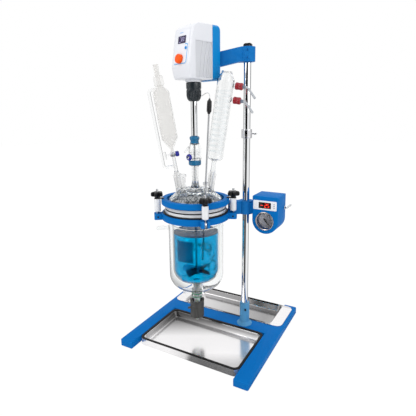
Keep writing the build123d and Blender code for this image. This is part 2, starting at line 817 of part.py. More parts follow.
def make_funnel():
    """Pressure-equalising addition funnel with its stopcock."""
    frame = head * Pos(*funnel_place) * Rot(0, funnel_lean, 0)
    top_inner = funnel_socket_radius - 4
    outer = turned(
        (
            (0, cone_joint_low),
            (side_neck_bore - joint_slip - 1, cone_joint_low),
            (side_neck_bore - joint_slip, side_neck_top - funnel_place[2] + 4),
            (stem_radius, side_neck_top - funnel_place[2] + 10),
            (stem_radius, funnel_cone_low),
            (funnel_radius, funnel_body_low),
            (funnel_radius, funnel_body_high),
            (funnel_tube_radius + 2, funnel_neck_low),
            (funnel_socket_radius, funnel_neck_low + 3),
            (funnel_socket_radius, funnel_socket_top),
            (funnel_tube_radius, funnel_socket_top + 2),
            (funnel_tube_radius, funnel_tube_top),
            (0, funnel_tube_top),
        ),
        ((funnel_radius, funnel_body_low, 8), (funnel_radius, funnel_body_high, 12)),
    )
    wall = funnel_wall
    hollow = turned(
        (
            (0, cone_joint_low - 1),
            (stem_bore, cone_joint_low - 1),
            (stem_bore, funnel_cone_low + wall),
            (funnel_radius - wall, funnel_body_low + 1),
            (funnel_radius - wall, funnel_body_high - 1),
            (funnel_tube_radius - wall, funnel_neck_low - wall),
            (funnel_tube_radius - wall, funnel_tube_top + 1),
            (0, funnel_tube_top + 1),
        ),
        ((funnel_radius - wall, funnel_body_low + 1, 6), (funnel_radius - wall, funnel_body_high - 1, 10)),
    )
    bypass = bent_tube(
        (
            (-funnel_radius / 2, 0, bypass_high),
            (-bypass_offset, 0, bypass_high),
            (-bypass_offset, 0, bypass_low),
            (-stem_radius / 2, 0, bypass_low),
        ),
        bypass_bend,
        bypass_radius,
    )
    barrel = Pos(0, 0, stopcock_height) * Rot(0, 90, 0)
    glass = outer + bypass + barrel * disc(barrel_radius, -barrel_half, barrel_half)
    glass = glass - hollow - barrel * disc(plug_radius + slip, -barrel_half - 1, barrel_half + 1)
    keep("funnel_glass", frame * glass)
    plug = disc(plug_radius, -barrel_half - 2, barrel_half + 12)
    plug += disc(3.5, -barrel_half - 16, -barrel_half - 1)
    plug += Pos(0, 0, -barrel_half - 17) * Rot(0, 90, 0) * Cylinder(3.5, plug_handle_length)
    plug -= Rot(0, 90, 0) * Cylinder(2.2, 30)
    nut = collar(cock_nut_radius, plug_radius, barrel_half + 0.3, barrel_half + 12)
    keep("funnel_stopcock", group(frame * barrel * plug, frame * barrel * nut))


def condenser_frame():
    """Place and lean of the condenser."""
    return head * Pos(*condenser_place) * Rot(condenser_tip, condenser_lean, 0)


def condenser_coil():
    """Glass coil that rests against the inside of the condenser's wall."""
    height = coil_high - coil_low
    path = Helix(height / coil_turns, height, condenser_radius - condenser_wall - coil_wire - joint_slip)
    start = Plane(origin=path @ 0, z_dir=path % 0)
    coil = sweep(start * RegularPolygon(coil_wire, 6), path=path, is_frenet=True)
    return Pos(0, 0, coil_low) * coil


def make_condenser():
    """Coil condenser: glass jacket with two hose nozzles, inner coil, caps and bent barbs."""
    frame = condenser_frame()
    wall = condenser_wall
    mouth = condenser_high + condenser_mouth_rise
    lip = mouth + condenser_lip_height
    outer = turned(
        (
            (0, cone_joint_low),
            (side_neck_bore - joint_slip - 1, cone_joint_low),
            (side_neck_bore - joint_slip, side_neck_top - condenser_place[2] + 4),
            (condenser_stem_radius, side_neck_top - condenser_place[2] + 10),
            (condenser_stem_radius, condenser_low),
            (condenser_radius, condenser_low),
            (condenser_radius, condenser_high),
            (condenser_mouth_radius, mouth),
            (condenser_mouth_radius + condenser_lip, mouth),
            (condenser_mouth_radius + condenser_lip, lip),
            (0, lip),
        ),
        ((condenser_radius, condenser_low, condenser_round), (condenser_radius, condenser_high, condenser_round)),
    )
    hollow = turned(
        (
            (0, cone_joint_low - 1),
            (condenser_stem_radius - wall, cone_joint_low - 1),
            (condenser_stem_radius - wall, condenser_low + wall),
            (condenser_radius - wall, condenser_low + wall),
            (condenser_radius - wall, condenser_high - wall / 4),
            (condenser_mouth_radius - wall, mouth - wall / 4),
            (condenser_mouth_radius - wall, lip + 1),
            (0, lip + 1),
        ),
        (
            (condenser_radius - wall, condenser_low + wall, condenser_round - wall),
            (condenser_radius - wall, condenser_high - wall / 4, condenser_round - wall),
        ),
    )
    nozzles = Part()
    bores = Part()
    barbs = []
    for height, name in zip(hose_heights, ("upper", "lower")):
        aim = Pos(0, 0, height) * Rot(0, 0, hose_turn) * Rot(0, 90, 0)
        nozzles += aim * disc(hose_nozzle_radius, condenser_radius - wall, hose_nozzle_end)
        bores += aim * disc(coil_wire + joint_slip, condenser_radius - wall - 3, hose_nozzle_end + 1)
        cap = disc(hose_cap_radius, hose_cap_start, hose_cap_end)
        cap -= disc(hose_nozzle_radius + slip, hose_cap_start - 1, hose_nozzle_end + 0.3)
        cap -= disc(barb_hub_radius + slip, hose_cap_start - 1, hose_cap_end + 1)
        middle = (hose_cap_start + hose_cap_end) / 2 - 2
        for index in range(hose_cap_grooves):
            groove = Pos(hose_cap_radius, 0, middle) * Rot(0, 0, 45) * Box(1.6, 1.6, hose_cap_end - hose_cap_start - 8)
            cap -= Rot(0, 0, index * 360 / hose_cap_grooves) * groove
        keep("hose_cap_" + name, frame * aim * cap)
        hub = disc(barb_hub_radius, hose_nozzle_end, barb_hub_end)
        run = barb_tube_length
        drop = radians(barb_tube_drop)
        end = (run * sin(drop), 0, barb_hub_end + run * cos(drop))
        tube = bent_tube(((0, 0, barb_hub_end - 4), (0, 0, barb_hub_end + 6), end), 7.0, barb_tube_radius)
        barbs.append(frame * aim * (hub + tube))
    keep("condenser_glass", frame * ((outer + nozzles) - hollow - bores))
    keep("hose_barbs", group(*barbs))
    keep("condenser_coil", frame * condenser_coil())


def probe_frame():
    """Place and lean of the temperature probe."""
    return head * Pos(*probe_place) * Rot(0, probe_lean, 0)


def make_probe():
    """Temperature probe: steel rod down into the vessel and a black handle with a tapered strain relief."""
    frame = probe_frame()
    keep("probe_rod", frame * disc(probe_radius, probe_low, probe_handle_low))
    handle = disc(probe_handle_radius, probe_handle_low, probe_handle_high)
    handle = chamfer(handle.edges().filter_by(GeomType.CIRCLE), 1.2)
    relief = Cone(relief_radius, lead_radius + 0.8, relief_length, align=(Align.CENTER, Align.CENTER, Align.MIN))
    keep("probe_handle", frame * (handle + Pos(0, 0, probe_handle_high) * relief))


def make_probe_lead():
    """The probe's thin lead, with arcs as large as its runs allow."""
    frame = head.inverse() * probe_frame()
    low = probe_handle_high + relief_length
    starts = [(frame * Pos(0, 0, z)).position for z in (low, low + lead_first_run)]
    points = [*starts, *[Vector(*point) for point in lead_route], Vector(*lead_end)]
    runs = [after - before for before, after in zip(points, points[1:])]
    bends = []
    for first, second in zip(runs, runs[1:]):
        turn = radians(first.get_angle(second))
        bends.append(0.45 * min(first.length, second.length) / tan(turn / 2))
    print("bends of the lead", [round(bend, 1) for bend in bends])
    path = FilletPolyline(*points, radius=bends)
    print("length of the lead", round(path.length, 1))
    start = Plane(origin=path @ 0, z_dir=path % 0)
    keep("probe_lead", head * sweep(start * Circle(lead_radius), path=path))


def make_lower_arm():
    """Arm that carries the lower ring, split round the column, with a lug for the control box."""
    half = lower_arm_thickness / 2
    bar = block((ring_radius - 8, arm_reach), (-half, half), (lower_arm_bottom, lower_arm_top))
    bar -= disc(ring_radius, lower_arm_bottom - 1, lower_arm_top + 1)
    bar -= disc(ring_radius + 1, lower_ring_top + 0.5, lower_arm_top + 1)
    arm = head * bar
    arm += column_place * disc(block_radius, lower_arm_bottom, lower_arm_top)
    lug_low, lug_high = lower_arm_bottom + 4, lower_arm_top - 4
    arm += block((column_x, box_left), (column_y - half, column_y + half), (lug_low, lug_high))
    arm -= column_place * disc(column_radius, lower_arm_bottom - 1, lower_arm_top + 1)
    slot = block((0, block_radius + 2), (-slot_width / 2, slot_width / 2), (lower_arm_bottom - 1, lower_arm_top + 1))
    arm -= column_place * Rot(0, 0, 110) * slot
    keep("lower_arm", arm)


def make_upper_arm():
    """Cast arm from the motor's rear cover to the column, split where it grips."""
    foot = motor * Pos(motor_back, 0, 0)
    corners = [foot * Pos(0, y, 0) for y in (-upper_foot_half, upper_foot_half)]
    near, far = [(head.inverse() * c).position for c in corners]
    reach = arm_reach
    grip = block_radius - 2
    plan = make_face(
        Polyline((near.X, near.Y), (reach, -grip), (reach, grip), (far.X, far.Y), close=True)
    )
    low, high = upper_arm_bottom, upper_arm_top
    casting = Pos(0, 0, low - upper_arm_fall) * extrude(plan, high - low + upper_arm_fall)
    profile = make_face(
        Polyline(
            (20, low - upper_arm_fall),
            (near.X + 8, low - upper_arm_fall),
            (reach - block_radius, low),
            (reach + 40, low),
            (reach + 40, high),
            (reach - block_radius, high),
            (near.X, high - upper_arm_fall),
            (20, high - upper_arm_fall),
            close=True,
        )
    )
    side = extrude(Plane.XZ * profile, 120, both=True)
    arm = head * (casting & side)
    arm += column_place * disc(block_radius, low, high)
    arm -= column_place * disc(column_radius, low - 1, high + 1)
    slot = block((0, block_radius + 2), (-slot_width / 2, slot_width / 2), (low - 1, high + 1))
    arm -= column_place * Rot(0, 0, arm_swing - 20) * slot
    keep("upper_arm", arm)


def make_small_clamps(pins):
    """Boss clamp with its thumb screw, and the screws and pins of the sockets, arms and clamps."""
    low = boss_height - boss_clamp_height / 2
    high = boss_height + boss_clamp_height / 2
    ring = collar(boss_clamp_radius, column_radius + slip, low, high)
    aim = Rot(0, 0, arm_swing - 20) * Pos(0, 0, boss_height) * Rot(0, 90, 0)
    ring -= aim * disc(screw_radius + slip, 5, boss_clamp_radius + 2)
    keep("boss_clamp", column_place * ring)
    screw = disc(screw_radius, column_radius + 0.5, thumb_screw_reach)
    wing = Pos(0, 0, thumb_screw_reach - 4) * Box(18, 4, 10)
    keep("boss_screw", column_place * aim * (screw + fillet(wing.edges().filter_by(Axis.Y), 2)))
    screws = []
    for height, turn, start in (
        (socket_top - 22, -60, socket_radius),
        (lower_arm_bottom + 12, 70, block_radius),
        (lower_arm_top - 12, 70, block_radius),
        (upper_arm_bottom + 10, -70, block_radius),
        (upper_arm_top - 10, -70, block_radius),
    ):
        aim = Rot(0, 0, turn) * Pos(0, 0, height) * Rot(0, 90, 0)
        head_part = disc(3.5, start, start + 5) - Pos(0, 0, start + 4) * Cylinder(1.7, 5)
        screws.append(column_place * aim * head_part)
    keep("screws_and_pins", group(*screws, *pins))


def box_outline(inset=0.0):
    """Front outline of the control box: straight top, half-round bottom."""
    half = box_width / 2 - inset
    top = box_top - box_round_center - inset
    sides = Polyline((-half, 0), (-half, top), (half, top), (half, 0))
    bottom = ThreePointArc((half, 0), (0, -half), (-half, 0))
    return make_face(Curve() + [sides, bottom])


def make_control_box():
    """Control box with its temperature display, vacuum gauge and hose nozzle."""
    front = Plane(origin=(box_center_x, box_front, box_round_center), x_dir=(1, 0, 0), z_dir=(0, -1, 0))
    body = extrude(front * box_outline(), -box_depth)
    body = fillet(body.faces().sort_by(Axis.Y)[0].edges(), box_edge)
    into = Location(front)
    body -= into * disc(gauge_radius - gauge_lip, -gauge_pocket_depth, 1)
    keep("box_casing", body)
    bezel = into * turned(
        (
            (gauge_radius - gauge_lip, 0),
            (gauge_radius, 0),
            (gauge_radius, gauge_bezel_proud - 1),
            (gauge_radius - 1.5, gauge_bezel_proud),
            (gauge_radius - gauge_lip, gauge_bezel_proud),
        )
    )
    keep("gauge_bezel", bezel)
    floor = -gauge_pocket_depth
    dial = disc(gauge_radius - gauge_lip, floor, floor + dial_thickness)
    post = disc(1.5, floor + dial_thickness, floor + dial_thickness + 3)
    keep("gauge_dial", into * (dial + post))
    needle_low = floor + dial_thickness + 1
    needle = block((-6, needle_length), (-1.2, 1.2), (needle_low, needle_low + needle_thickness))
    needle += disc(4, needle_low, needle_low + 1.6)
    needle -= disc(1.5 + slip, needle_low - 1, needle_low + 4)
    keep("gauge_needle", into * Rot(0, 0, -50) * needle)
    lens = disc(gauge_radius - gauge_lip, gauge_bezel_proud - 2.5, gauge_bezel_proud - 1)
    keep("gauge_lens", into * lens)
    half = box_panel_width / 2
    rise = box_panel_center - box_round_center
    plate = into * block((-half, half), (rise - box_panel_height / 2, rise + box_panel_height / 2), (0, 1.2))
    window = block(
        (-window_width / 2, window_width / 2), (rise - window_height / 2, rise + window_height / 2), (1.2, 1.8)
    )
    keep("box_display", group(plate, into * window))
    right = box_left + box_width
    z = box_top - vacuum_nozzle_drop
    y = box_front + box_depth - 14
    route = ((right - 1, y, z), (right + 9, y, z), (right + 9, y + 44, z))
    nozzle = bent_tube(route, 5.0, 3.6) - block((right - 20, right), (y - 10, y + 10), (z - 10, z + 10))
    keep("vacuum_nozzle", nozzle)


make_base()
make_trays()
make_column()
make_motor()
make_panel()
make_stirrer()
make_seal()
ring_pins = make_rings()
for clamp_name, clamp_angle in zip(clamp_names, clamp_angles):
    make_clamp(clamp_name, clamp_angle)
make_vessel()
make_drain()
make_lid()
make_funnel()
make_condenser()
make_probe()
make_probe_lead()
make_lower_arm()
make_upper_arm()
make_small_clamps(ring_pins)
make_control_box()

for node_name, node_shape in nodes.items():
    export_step(node_shape, "parts/" + node_name + ".step")
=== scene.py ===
"""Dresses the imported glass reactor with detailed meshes, materials, liquid, soft light and the camera.

Sizes in the shape calls are millimetres in the part's own frames. Finished meshes are in metres.
"""
from functools import cache, partial
from math import atan2, ceil, cos, pi, radians, sin, tan

import bmesh
import bpy
from mathutils import Matrix, Vector


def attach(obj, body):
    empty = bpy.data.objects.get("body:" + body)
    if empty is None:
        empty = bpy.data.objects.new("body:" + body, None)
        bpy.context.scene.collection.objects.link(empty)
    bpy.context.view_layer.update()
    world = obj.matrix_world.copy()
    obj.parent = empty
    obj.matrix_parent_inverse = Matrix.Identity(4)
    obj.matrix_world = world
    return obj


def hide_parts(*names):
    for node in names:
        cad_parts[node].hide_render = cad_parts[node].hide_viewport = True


bl_info = {
    "name": "Glass reactor",
    "version": (1, 0, 0),
    "blender": (4, 5, 0),
    "location": "View3D > Sidebar > Reactor",
    "description": "Builds the visual model of a bench glass reactor around its packed parts",
    "category": "Object",
}

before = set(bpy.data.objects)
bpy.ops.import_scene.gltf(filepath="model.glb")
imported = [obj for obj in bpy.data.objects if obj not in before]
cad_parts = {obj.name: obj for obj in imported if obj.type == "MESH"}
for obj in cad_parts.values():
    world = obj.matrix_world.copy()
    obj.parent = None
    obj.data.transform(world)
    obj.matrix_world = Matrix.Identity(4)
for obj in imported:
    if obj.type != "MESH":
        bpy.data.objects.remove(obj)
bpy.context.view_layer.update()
MM = 0.001


def at(x=0.0, y=0.0, z=0.0):
    """A shift in millimetres."""
    return Matrix.Translation((x, y, z))


def turn(x=0.0, y=0.0, z=0.0):
    """A turn in degrees about X, then the turned Y, then the turned Z."""
    about_x = Matrix.Rotation(radians(x), 4, "X")
    about_y = Matrix.Rotation(radians(y), 4, "Y")
    return about_x @ about_y @ Matrix.Rotation(radians(z), 4, "Z")


HERE = Matrix.Identity(4)
HEAD = at(-38.6987, -59.0315) @ turn(z=37.8)
MOTOR = HEAD @ turn(z=33.0)
PANEL = MOTOR @ at(-44.5, 0, 972) @ turn(y=9.9778)
OUTWARD = turn(y=-90)
COLUMN = at(98, 47)
FUNNEL = HEAD @ at(-56, 0, 560) @ turn(y=-9.5)
CONDENSER = HEAD @ at(51.6, -10, 558) @ turn(x=2.8, y=8.2)
PROBE = HEAD @ at(28, -42, 550) @ turn(y=3.2)
BOX_FRONT = at(177, 18, 430) @ turn(x=90)
CLAMPS = {"left": 180.0, "front": -84.0, "right": -17.0}

# Sizes in millimetres that several pieces share
COLUMN_RADIUS = 12.5
TRAY_WIDTH, TRAY_CORNER = 373.0, 22
RING_INSIDE, RING_OUTSIDE = 95, 113
PIN_CIRCLE, PIN_HEIGHT = 126, 446
FLANGE_RADIUS, FLANGE_TOP = 103, 484
LID_UNDERSIDE = 473.6
DIAL_HEIGHT = -6.8
# The gauge's scale starts at the first angle and runs clockwise over the second
SCALE_START, SCALE_SWEEP = 225, 270


# The probe's lead after its first straight run, up to the motor's underside
LEAD = (
    (41.0, -34.6, 839.3), (36.3, -21.0, 839.6), (31.5, -1.5, 836.0), (28.5, 18.0, 831.5), (22.5, 33.5, 833.5),
    (14.5, 42.0, 844.0), (12.2, 42.0, 860.0), (12.2, 42.0, 876.0),
)


class ReactorSizes(bpy.types.PropertyGroup):
    """Sizes that a user may change."""

    liquid_level: bpy.props.FloatProperty(
        name="Liquid level", description="Height of the liquid's surface above the floor", default=0.387,
        unit="LENGTH"
    )
    display_value: bpy.props.IntProperty(
        name="Box display", description="Number on the control box's red display", default=25, min=0, max=999
    )
    speed_value: bpy.props.IntProperty(
        name="Speed display", description="Number on the motor's display", default=120, min=0, max=999
    )
    lamp_power: bpy.props.FloatProperty(
        name="Lamp power", description="Power of the main soft lamp", default=18.0, min=0.0, unit="POWER"
    )


class ReactorColours(bpy.types.PropertyGroup):
    """Colours that a user may change."""

    frame_blue: bpy.props.FloatVectorProperty(
        name="Frame", description="Paint of the base, arms, rings and box", default=(0.0, 0.15, 0.49),
        subtype="COLOR"
    )
    cover_blue: bpy.props.FloatVectorProperty(
        name="Motor cover", description="Plastic of the motor's rear cover", default=(0.0, 0.24, 0.62),
        subtype="COLOR"
    )
    liquid: bpy.props.FloatVectorProperty(
        name="Liquid", description="Tint of the liquid", default=(0.0, 0.37, 0.70), subtype="COLOR"
    )
    knob_orange: bpy.props.FloatVectorProperty(
        name="Speed knob", description="Plastic of the speed knob", default=(1.0, 0.11, 0.005),
        subtype="COLOR"
    )
    cap_red: bpy.props.FloatVectorProperty(
        name="Hose caps", description="Plastic of the condenser's hose caps", default=(0.33, 0.01, 0.02),
        subtype="COLOR"
    )


def rounded(*points, steps=6):
    """A closed outline from (x, y) corners, or (x, y, radius) for a corner rounded to that radius."""
    outline = []
    for index, point in enumerate(points):
        corner = Vector(point[:2])
        if len(point) < 3:
            outline.append(corner)
            continue
        back = (Vector(points[index - 1][:2]) - corner).normalized()
        ahead = (Vector(points[(index + 1) % len(points)][:2]) - corner).normalized()
        half = back.angle(ahead) / 2
        middle = corner + (back + ahead).normalized() * (point[2] / sin(half))
        start = corner + back * (point[2] / tan(half)) - middle
        end = corner + ahead * (point[2] / tan(half)) - middle
        first = atan2(start.y, start.x)
        sweep = (atan2(end.y, end.x) - first + pi) % (2 * pi) - pi
        for step in range(steps + 1):
            angle = first + sweep * step / steps
            outline.append(middle + Vector((cos(angle), sin(angle))) * point[2])
    return outline


def rounded_rect(width, depth, radius):
    """A rectangle round the origin with rounded corners."""
    x, y = width / 2, depth / 2
    return rounded((x, -y, radius), (x, y, radius), (-x, y, radius), (-x, -y, radius))


def raised(outline, height):
    """A flat outline as points at one height."""
    return [Vector((p[0], p[1], height)) for p in outline]


def shifted(outline, x, y):
    """A flat outline moved sideways."""
    return [Vector((p[0] + x, p[1] + y)) for p in outline]


def divided(outline, pitch):
    """A closed outline with more points, so that grooves show on its straight runs."""
    points = []
    for here, there in zip(outline, outline[1:] + outline[:1]):
        parts = max(1, int((there - here).length / pitch))
        points += [here.lerp(there, k / parts) for k in range(parts)]
    return points


def flutes(count, depth, radius, low, high, fade=None, power=1.0):
    """A wave for lathe: upright grooves between two heights, on what is wider than a radius.

    fade gives how far the grooves take to reach their depth, at the low end and at the high end.
    """
    def wave(angle, reach, height):
        if reach < radius or not low < height < high:
            return reach
        share = min(1.0, (height - low) / fade[0], (high - height) / fade[1]) if fade else 1.0
        return reach - depth * share * (0.5 + 0.5 * cos(angle * count)) ** power

    return wave


def bent(points, radius, steps=7):
    """An open 3-D path whose inner corners are eased."""
    points = [Vector(p) for p in points]
    path = [points[0]]
    for before, corner, after in zip(points, points[1:], points[2:]):
        back = before - corner
        ahead = after - corner
        reach = min(radius / tan(max(back.angle(ahead) / 2, 0.1)), back.length * 0.49, ahead.length * 0.49)
        start = corner + back.normalized() * reach
        end = corner + ahead.normalized() * reach
        for step in range(steps + 1):
            t = step / steps
            path.append(start * (1 - t) ** 2 + corner * 2 * t * (1 - t) + end * t**2)
    path.append(points[-1])
    return path


def helix(radius, low, high, turns, steps=26):
    """Points along a helix round Z."""
    count = ceil(turns * steps)
    path = []
    for step in range(count + 1):
        angle = 2 * pi * turns * step / count
        path.append(Vector((radius * cos(angle), radius * sin(angle), low + (high - low) * step / count)))
    return path


def link(name, data):
    """A new object in the scene."""
    made = bpy.data.objects.new(name, data)
    bpy.context.scene.collection.objects.link(made)
    return made


def evaluated(made):
    """A mesh copy of an object as its text or modifiers give it."""
    bpy.context.view_layer.update()
    return bpy.data.meshes.new_from_object(made.evaluated_get(bpy.context.evaluated_depsgraph_get()))


class Shape:
    """A mesh being built in millimetres."""

    def __init__(self):
        self.bm = bmesh.new()

    def add(self, points, faces, where=HERE, mat=0):
        """Vertices and faces, placed by a matrix."""
        verts = [self.bm.verts.new(where @ Vector(p)) for p in points]
        for corners in faces:
            face = self.bm.faces.new([verts[i] for i in corners])
            face.material_index = mat
        return self

    def loft(self, rings, where=HERE, mat=0, closed=False):
        """A skin over rings with equally many points, capped at its ends or closed into a loop."""
        count = len(rings[0])
        points = [p for ring in rings for p in ring]
        faces = []
        last = len(rings) if closed else len(rings) - 1
        for ring in range(last):
            here, there = ring * count, (ring + 1) % len(rings) * count
            for i in range(count):
                j = (i + 1) % count
                faces.append((here + i, here + j, there + j, there + i))
        if not closed:
            faces.append(tuple(reversed(range(count))))
            faces.append(tuple(range(len(points) - count, len(points))))
        return self.add(points, faces, where, mat)

    def lathe(self, profile, where=HERE, steps=64, mat=0, wave=None):
        """A closed (radius, height) outline turned about Z. wave changes a radius by its angle and height."""
        points, index, faces = [], [], []
        for radius, height in profile:
            if radius < 1e-6:
                index.append([len(points)] * steps)
                points.append((0, 0, height))
                continue
            ring = []
            for step in range(steps):
                angle = 2 * pi * step / steps
                reach = wave(angle, radius, height) if wave else radius
                ring.append(len(points))
                points.append((reach * cos(angle), reach * sin(angle), height))
            index.append(ring)
        for number, low in enumerate(index):
            high = index[(number + 1) % len(index)]
            for i in range(steps):
                j = (i + 1) % steps
                corners = []
                for corner in (low[i], low[j], high[j], high[i]):
                    if corner not in corners:
                        corners.append(corner)
                if len(corners) > 2:
                    faces.append(corners)
        return self.add(points, faces, where, mat)

    def bar(self, radius, low, high, where=HERE, edge=0.4, steps=40, mat=0):
        """A round bar on Z with eased ends."""
        edge = min(edge, radius * 0.45, (high - low) * 0.45)
        profile = rounded((0, low), (radius, low, edge), (radius, high, edge), (0, high), steps=3)
        return self.lathe(profile, where, steps, mat)

    def pipe(self, outer, inner, low, high, where=HERE, edge=0.4, steps=48):
        """A round bar on Z with a hole through it."""
        edge = min(edge, (outer - inner) * 0.45, (high - low) * 0.45)
        profile = rounded(
            (inner, low, edge), (outer, low, edge), (outer, high, edge), (inner, high, edge), steps=3
        )
        return self.lathe(profile, where, steps)

    def box(self, low, high, where=HERE, edge=0.6, steps=2, mat=0):
        """A block with rounded edges."""
        made = bmesh.new()
        size = Vector(high) - Vector(low)
        middle = (Vector(high) + Vector(low)) / 2
        bmesh.ops.create_cube(made, size=1.0, matrix=Matrix.Translation(middle) @ Matrix.Diagonal((*size, 1)))
        edge = min(edge, min(size) * 0.45)
        if edge > 0:
            bmesh.ops.bevel(
                made, geom=made.edges[:], offset=edge, segments=steps, profile=0.5, affect="EDGES",
                clamp_overlap=True
            )
        return self.merge(made, where, mat)

    def prism(self, outline, low, high, where=HERE, edge=0.6, steps=2, mat=0):
        """A flat outline pulled up from one height to another, with eased rims."""
        made = bmesh.new()
        face = made.faces.new([made.verts.new((p[0], p[1], low)) for p in outline])
        pulled = bmesh.ops.extrude_face_region(made, geom=[face])
        verts = [v for v in pulled["geom"] if isinstance(v, bmesh.types.BMVert)]
        bmesh.ops.translate(made, verts=verts, vec=(0, 0, high - low))
        bmesh.ops.recalc_face_normals(made, faces=made.faces[:])
        if edge > 0:
            rims = [e for e in made.edges if abs(e.verts[0].co.z - e.verts[1].co.z) < 1e-6]
            bmesh.ops.bevel(made, geom=rims, offset=edge, segments=steps, profile=0.5, affect="EDGES")
        return self.merge(made, where, mat)

    def tube(self, path, radius, where=HERE, sides=12, mat=0):
        """A round tube along a path."""
        path = [Vector(p) for p in path]
        rings = []
        normal = None
        for i, point in enumerate(path):
            before = path[i - 1] if i else point
            after = path[i + 1] if i < len(path) - 1 else point
            along_path = (after - before).normalized()
            if normal is None:
                normal = along_path.orthogonal().normalized()
            normal = (normal - along_path * normal.dot(along_path)).normalized()
            across = along_path.cross(normal)
            ring = []
            for side in range(sides):
                angle = 2 * pi * side / sides
                ring.append(point + (normal * cos(angle) + across * sin(angle)) * radius)
            rings.append(ring)
        return self.loft(rings, where, mat)

    def merge(self, made, where=HERE, mat=None):
        """Take over another bmesh."""
        made.transform(where)
        if mat is not None:
            for face in made.faces:
                face.material_index = mat
        mesh = bpy.data.meshes.new("part")
        made.to_mesh(mesh)
        made.free()
        self.bm.from_mesh(mesh)
        bpy.data.meshes.remove(mesh)
        return self

    def words(self, text, height, where=HERE, depth=0.15, mat=0):
        """Plain characters, centred, as thin raised letters."""
        curve = bpy.data.curves.new("words", "FONT")
        curve.body = text
        curve.size = height
        curve.extrude = depth
        curve.resolution_u = 3
        curve.align_x = "CENTER"
        curve.align_y = "CENTER"
        holder = link("words", curve)
        mesh = evaluated(holder)
        made = bmesh.new()
        made.from_mesh(mesh)
        bpy.data.objects.remove(holder)
        bpy.data.curves.remove(curve)
        bpy.data.meshes.remove(mesh)
        return self.merge(made, where, mat)

    def boolean(self, other, how):
        """Join, or cut away, another closed shape."""
        pair = []
        for shape in (self, other):
            bmesh.ops.remove_doubles(shape.bm, verts=shape.bm.verts[:], dist=1e-4)
            bmesh.ops.recalc_face_normals(shape.bm, faces=shape.bm.faces[:])
            mesh = bpy.data.meshes.new("half")
            shape.bm.to_mesh(mesh)
            shape.bm.free()
            pair.append(link("half", mesh))
        change = pair[0].modifiers.new("change", "BOOLEAN")
        change.operation = how
        change.object = pair[1]
        change.solver = "EXACT"
        result = evaluated(pair[0])
        self.bm = bmesh.new()
        self.bm.from_mesh(result)
        bpy.data.meshes.remove(result)
        for holder in pair:
            mesh = holder.data
            bpy.data.objects.remove(holder)
            bpy.data.meshes.remove(mesh)
        return self

    def join(self, other):
        """Take in another closed shape."""
        return self.boolean(other, "UNION")

    def cut(self, other):
        """Cut away another closed shape."""
        return self.boolean(other, "DIFFERENCE")

    def paint(self, test, mat, where=HERE):
        """Give another finish to the faces whose middle passes the test, in a local frame."""
        back = where.inverted()
        for face in self.bm.faces:
            if test(back @ face.calc_center_median()):
                face.material_index = mat
        return self

    def finish(self, name, body, finishes, replaces=(), slot=None, sharp=35.0):
        """Make the object: smooth, dressed, riding on its body."""
        bmesh.ops.remove_doubles(self.bm, verts=self.bm.verts[:], dist=1e-4)
        bmesh.ops.recalc_face_normals(self.bm, faces=self.bm.faces[:])
        mesh = bpy.data.meshes.new(name)
        self.bm.to_mesh(mesh)
        self.bm.free()
        mesh.transform(Matrix.Scale(MM, 4))
        mesh.shade_smooth()
        mesh.set_sharp_from_angle(angle=radians(sharp))
        for finish in finishes:
            mesh.materials.append(finish_named(finish))
        made = link(name, mesh)
        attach(made, body)
        if replaces:
            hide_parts(*replaces)
        return made


def dress(node, finish):
    """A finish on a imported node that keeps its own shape."""
    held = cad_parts[node]
    held.data.materials.clear()
    held.data.materials.append(finish_named(finish))


def feed(tree, node, inputs):
    """Set a node's inputs, or link them where the value is a socket."""
    for name, value in inputs.items():
        if isinstance(value, bpy.types.NodeSocket):
            tree.links.new(value, node.inputs[name])
        else:
            node.inputs[name].default_value = value
    return node


def wire(tree, kind, inputs=None, **settings):
    """A shader node with its settings, and its inputs set or linked."""
    made = tree.nodes.new("ShaderNode" + kind)
    for name, value in settings.items():
        setattr(made, name, value)
    return feed(tree, made, inputs or {})


def calc(tree, operation, *values, clamp=False):
    """The result of one sum, product or other step on numbers."""
    return wire(tree, "Math", dict(enumerate(values)), operation=operation, use_clamp=clamp).outputs[0]


def progress(tree, value, low, high, **more):
    """How far a value has come from one number to another, from 0 to 1."""
    return wire(tree, "MapRange", {"Value": value, "From Min": low, "From Max": high}, **more).outputs[0]


def along(tree, place, direction):
    """A place's distance along a direction."""
    return wire(tree, "VectorMath", {0: place, 1: direction}, operation="DOT_PRODUCT").outputs["Value"]


def object_place(tree):
    """The place on the object, in metres."""
    return wire(tree, "TexCoord").outputs["Object"]


def split(tree, place):
    """A place's X, Y and Z."""
    return wire(tree, "SeparateXYZ", {0: place}).outputs


def noise_of(tree, place, scale, detail, **more):
    """A noise pattern's value."""
    return wire(tree, "TexNoise", {"Vector": place, "Scale": scale, "Detail": detail, **more}).outputs["Fac"]


def dimmed(tree, colour, pattern, amount):
    """A colour made darker where a pattern is high."""
    keep = calc(tree, "SUBTRACT", 1.0, calc(tree, "MULTIPLY", pattern, amount))
    return wire(tree, "VectorMath", {0: colour, "Scale": keep}, operation="SCALE").outputs[0]


def blend_colours(tree, share, first, second, target=None):
    """Mix two colours by a share, and send the result on where a socket is given."""
    mixed = feed(tree, wire(tree, "Mix", data_type="RGBA"), {0: share, 6: first, 7: second}).outputs[2]
    if target:
        tree.links.new(mixed, target)
    return mixed


def ramped(tree, value, stops, interpolation="LINEAR"):
    """A colour ramp over a value, from (place, colour) stops."""
    made = wire(tree, "ValToRGB", {"Fac": value})
    ramp = made.color_ramp
    ramp.interpolation = interpolation
    ramp.elements[0].position, ramp.elements[1].position = stops[0][0], stops[-1][0]
    for stop in stops[1:-1]:
        ramp.elements.new(stop[0])
    for element, (_, colour) in zip(ramp.elements, stops):
        element.color = (*colour, 1) if len(colour) == 3 else (colour[0],) * 3 + (1,)
    return made.outputs["Color"]


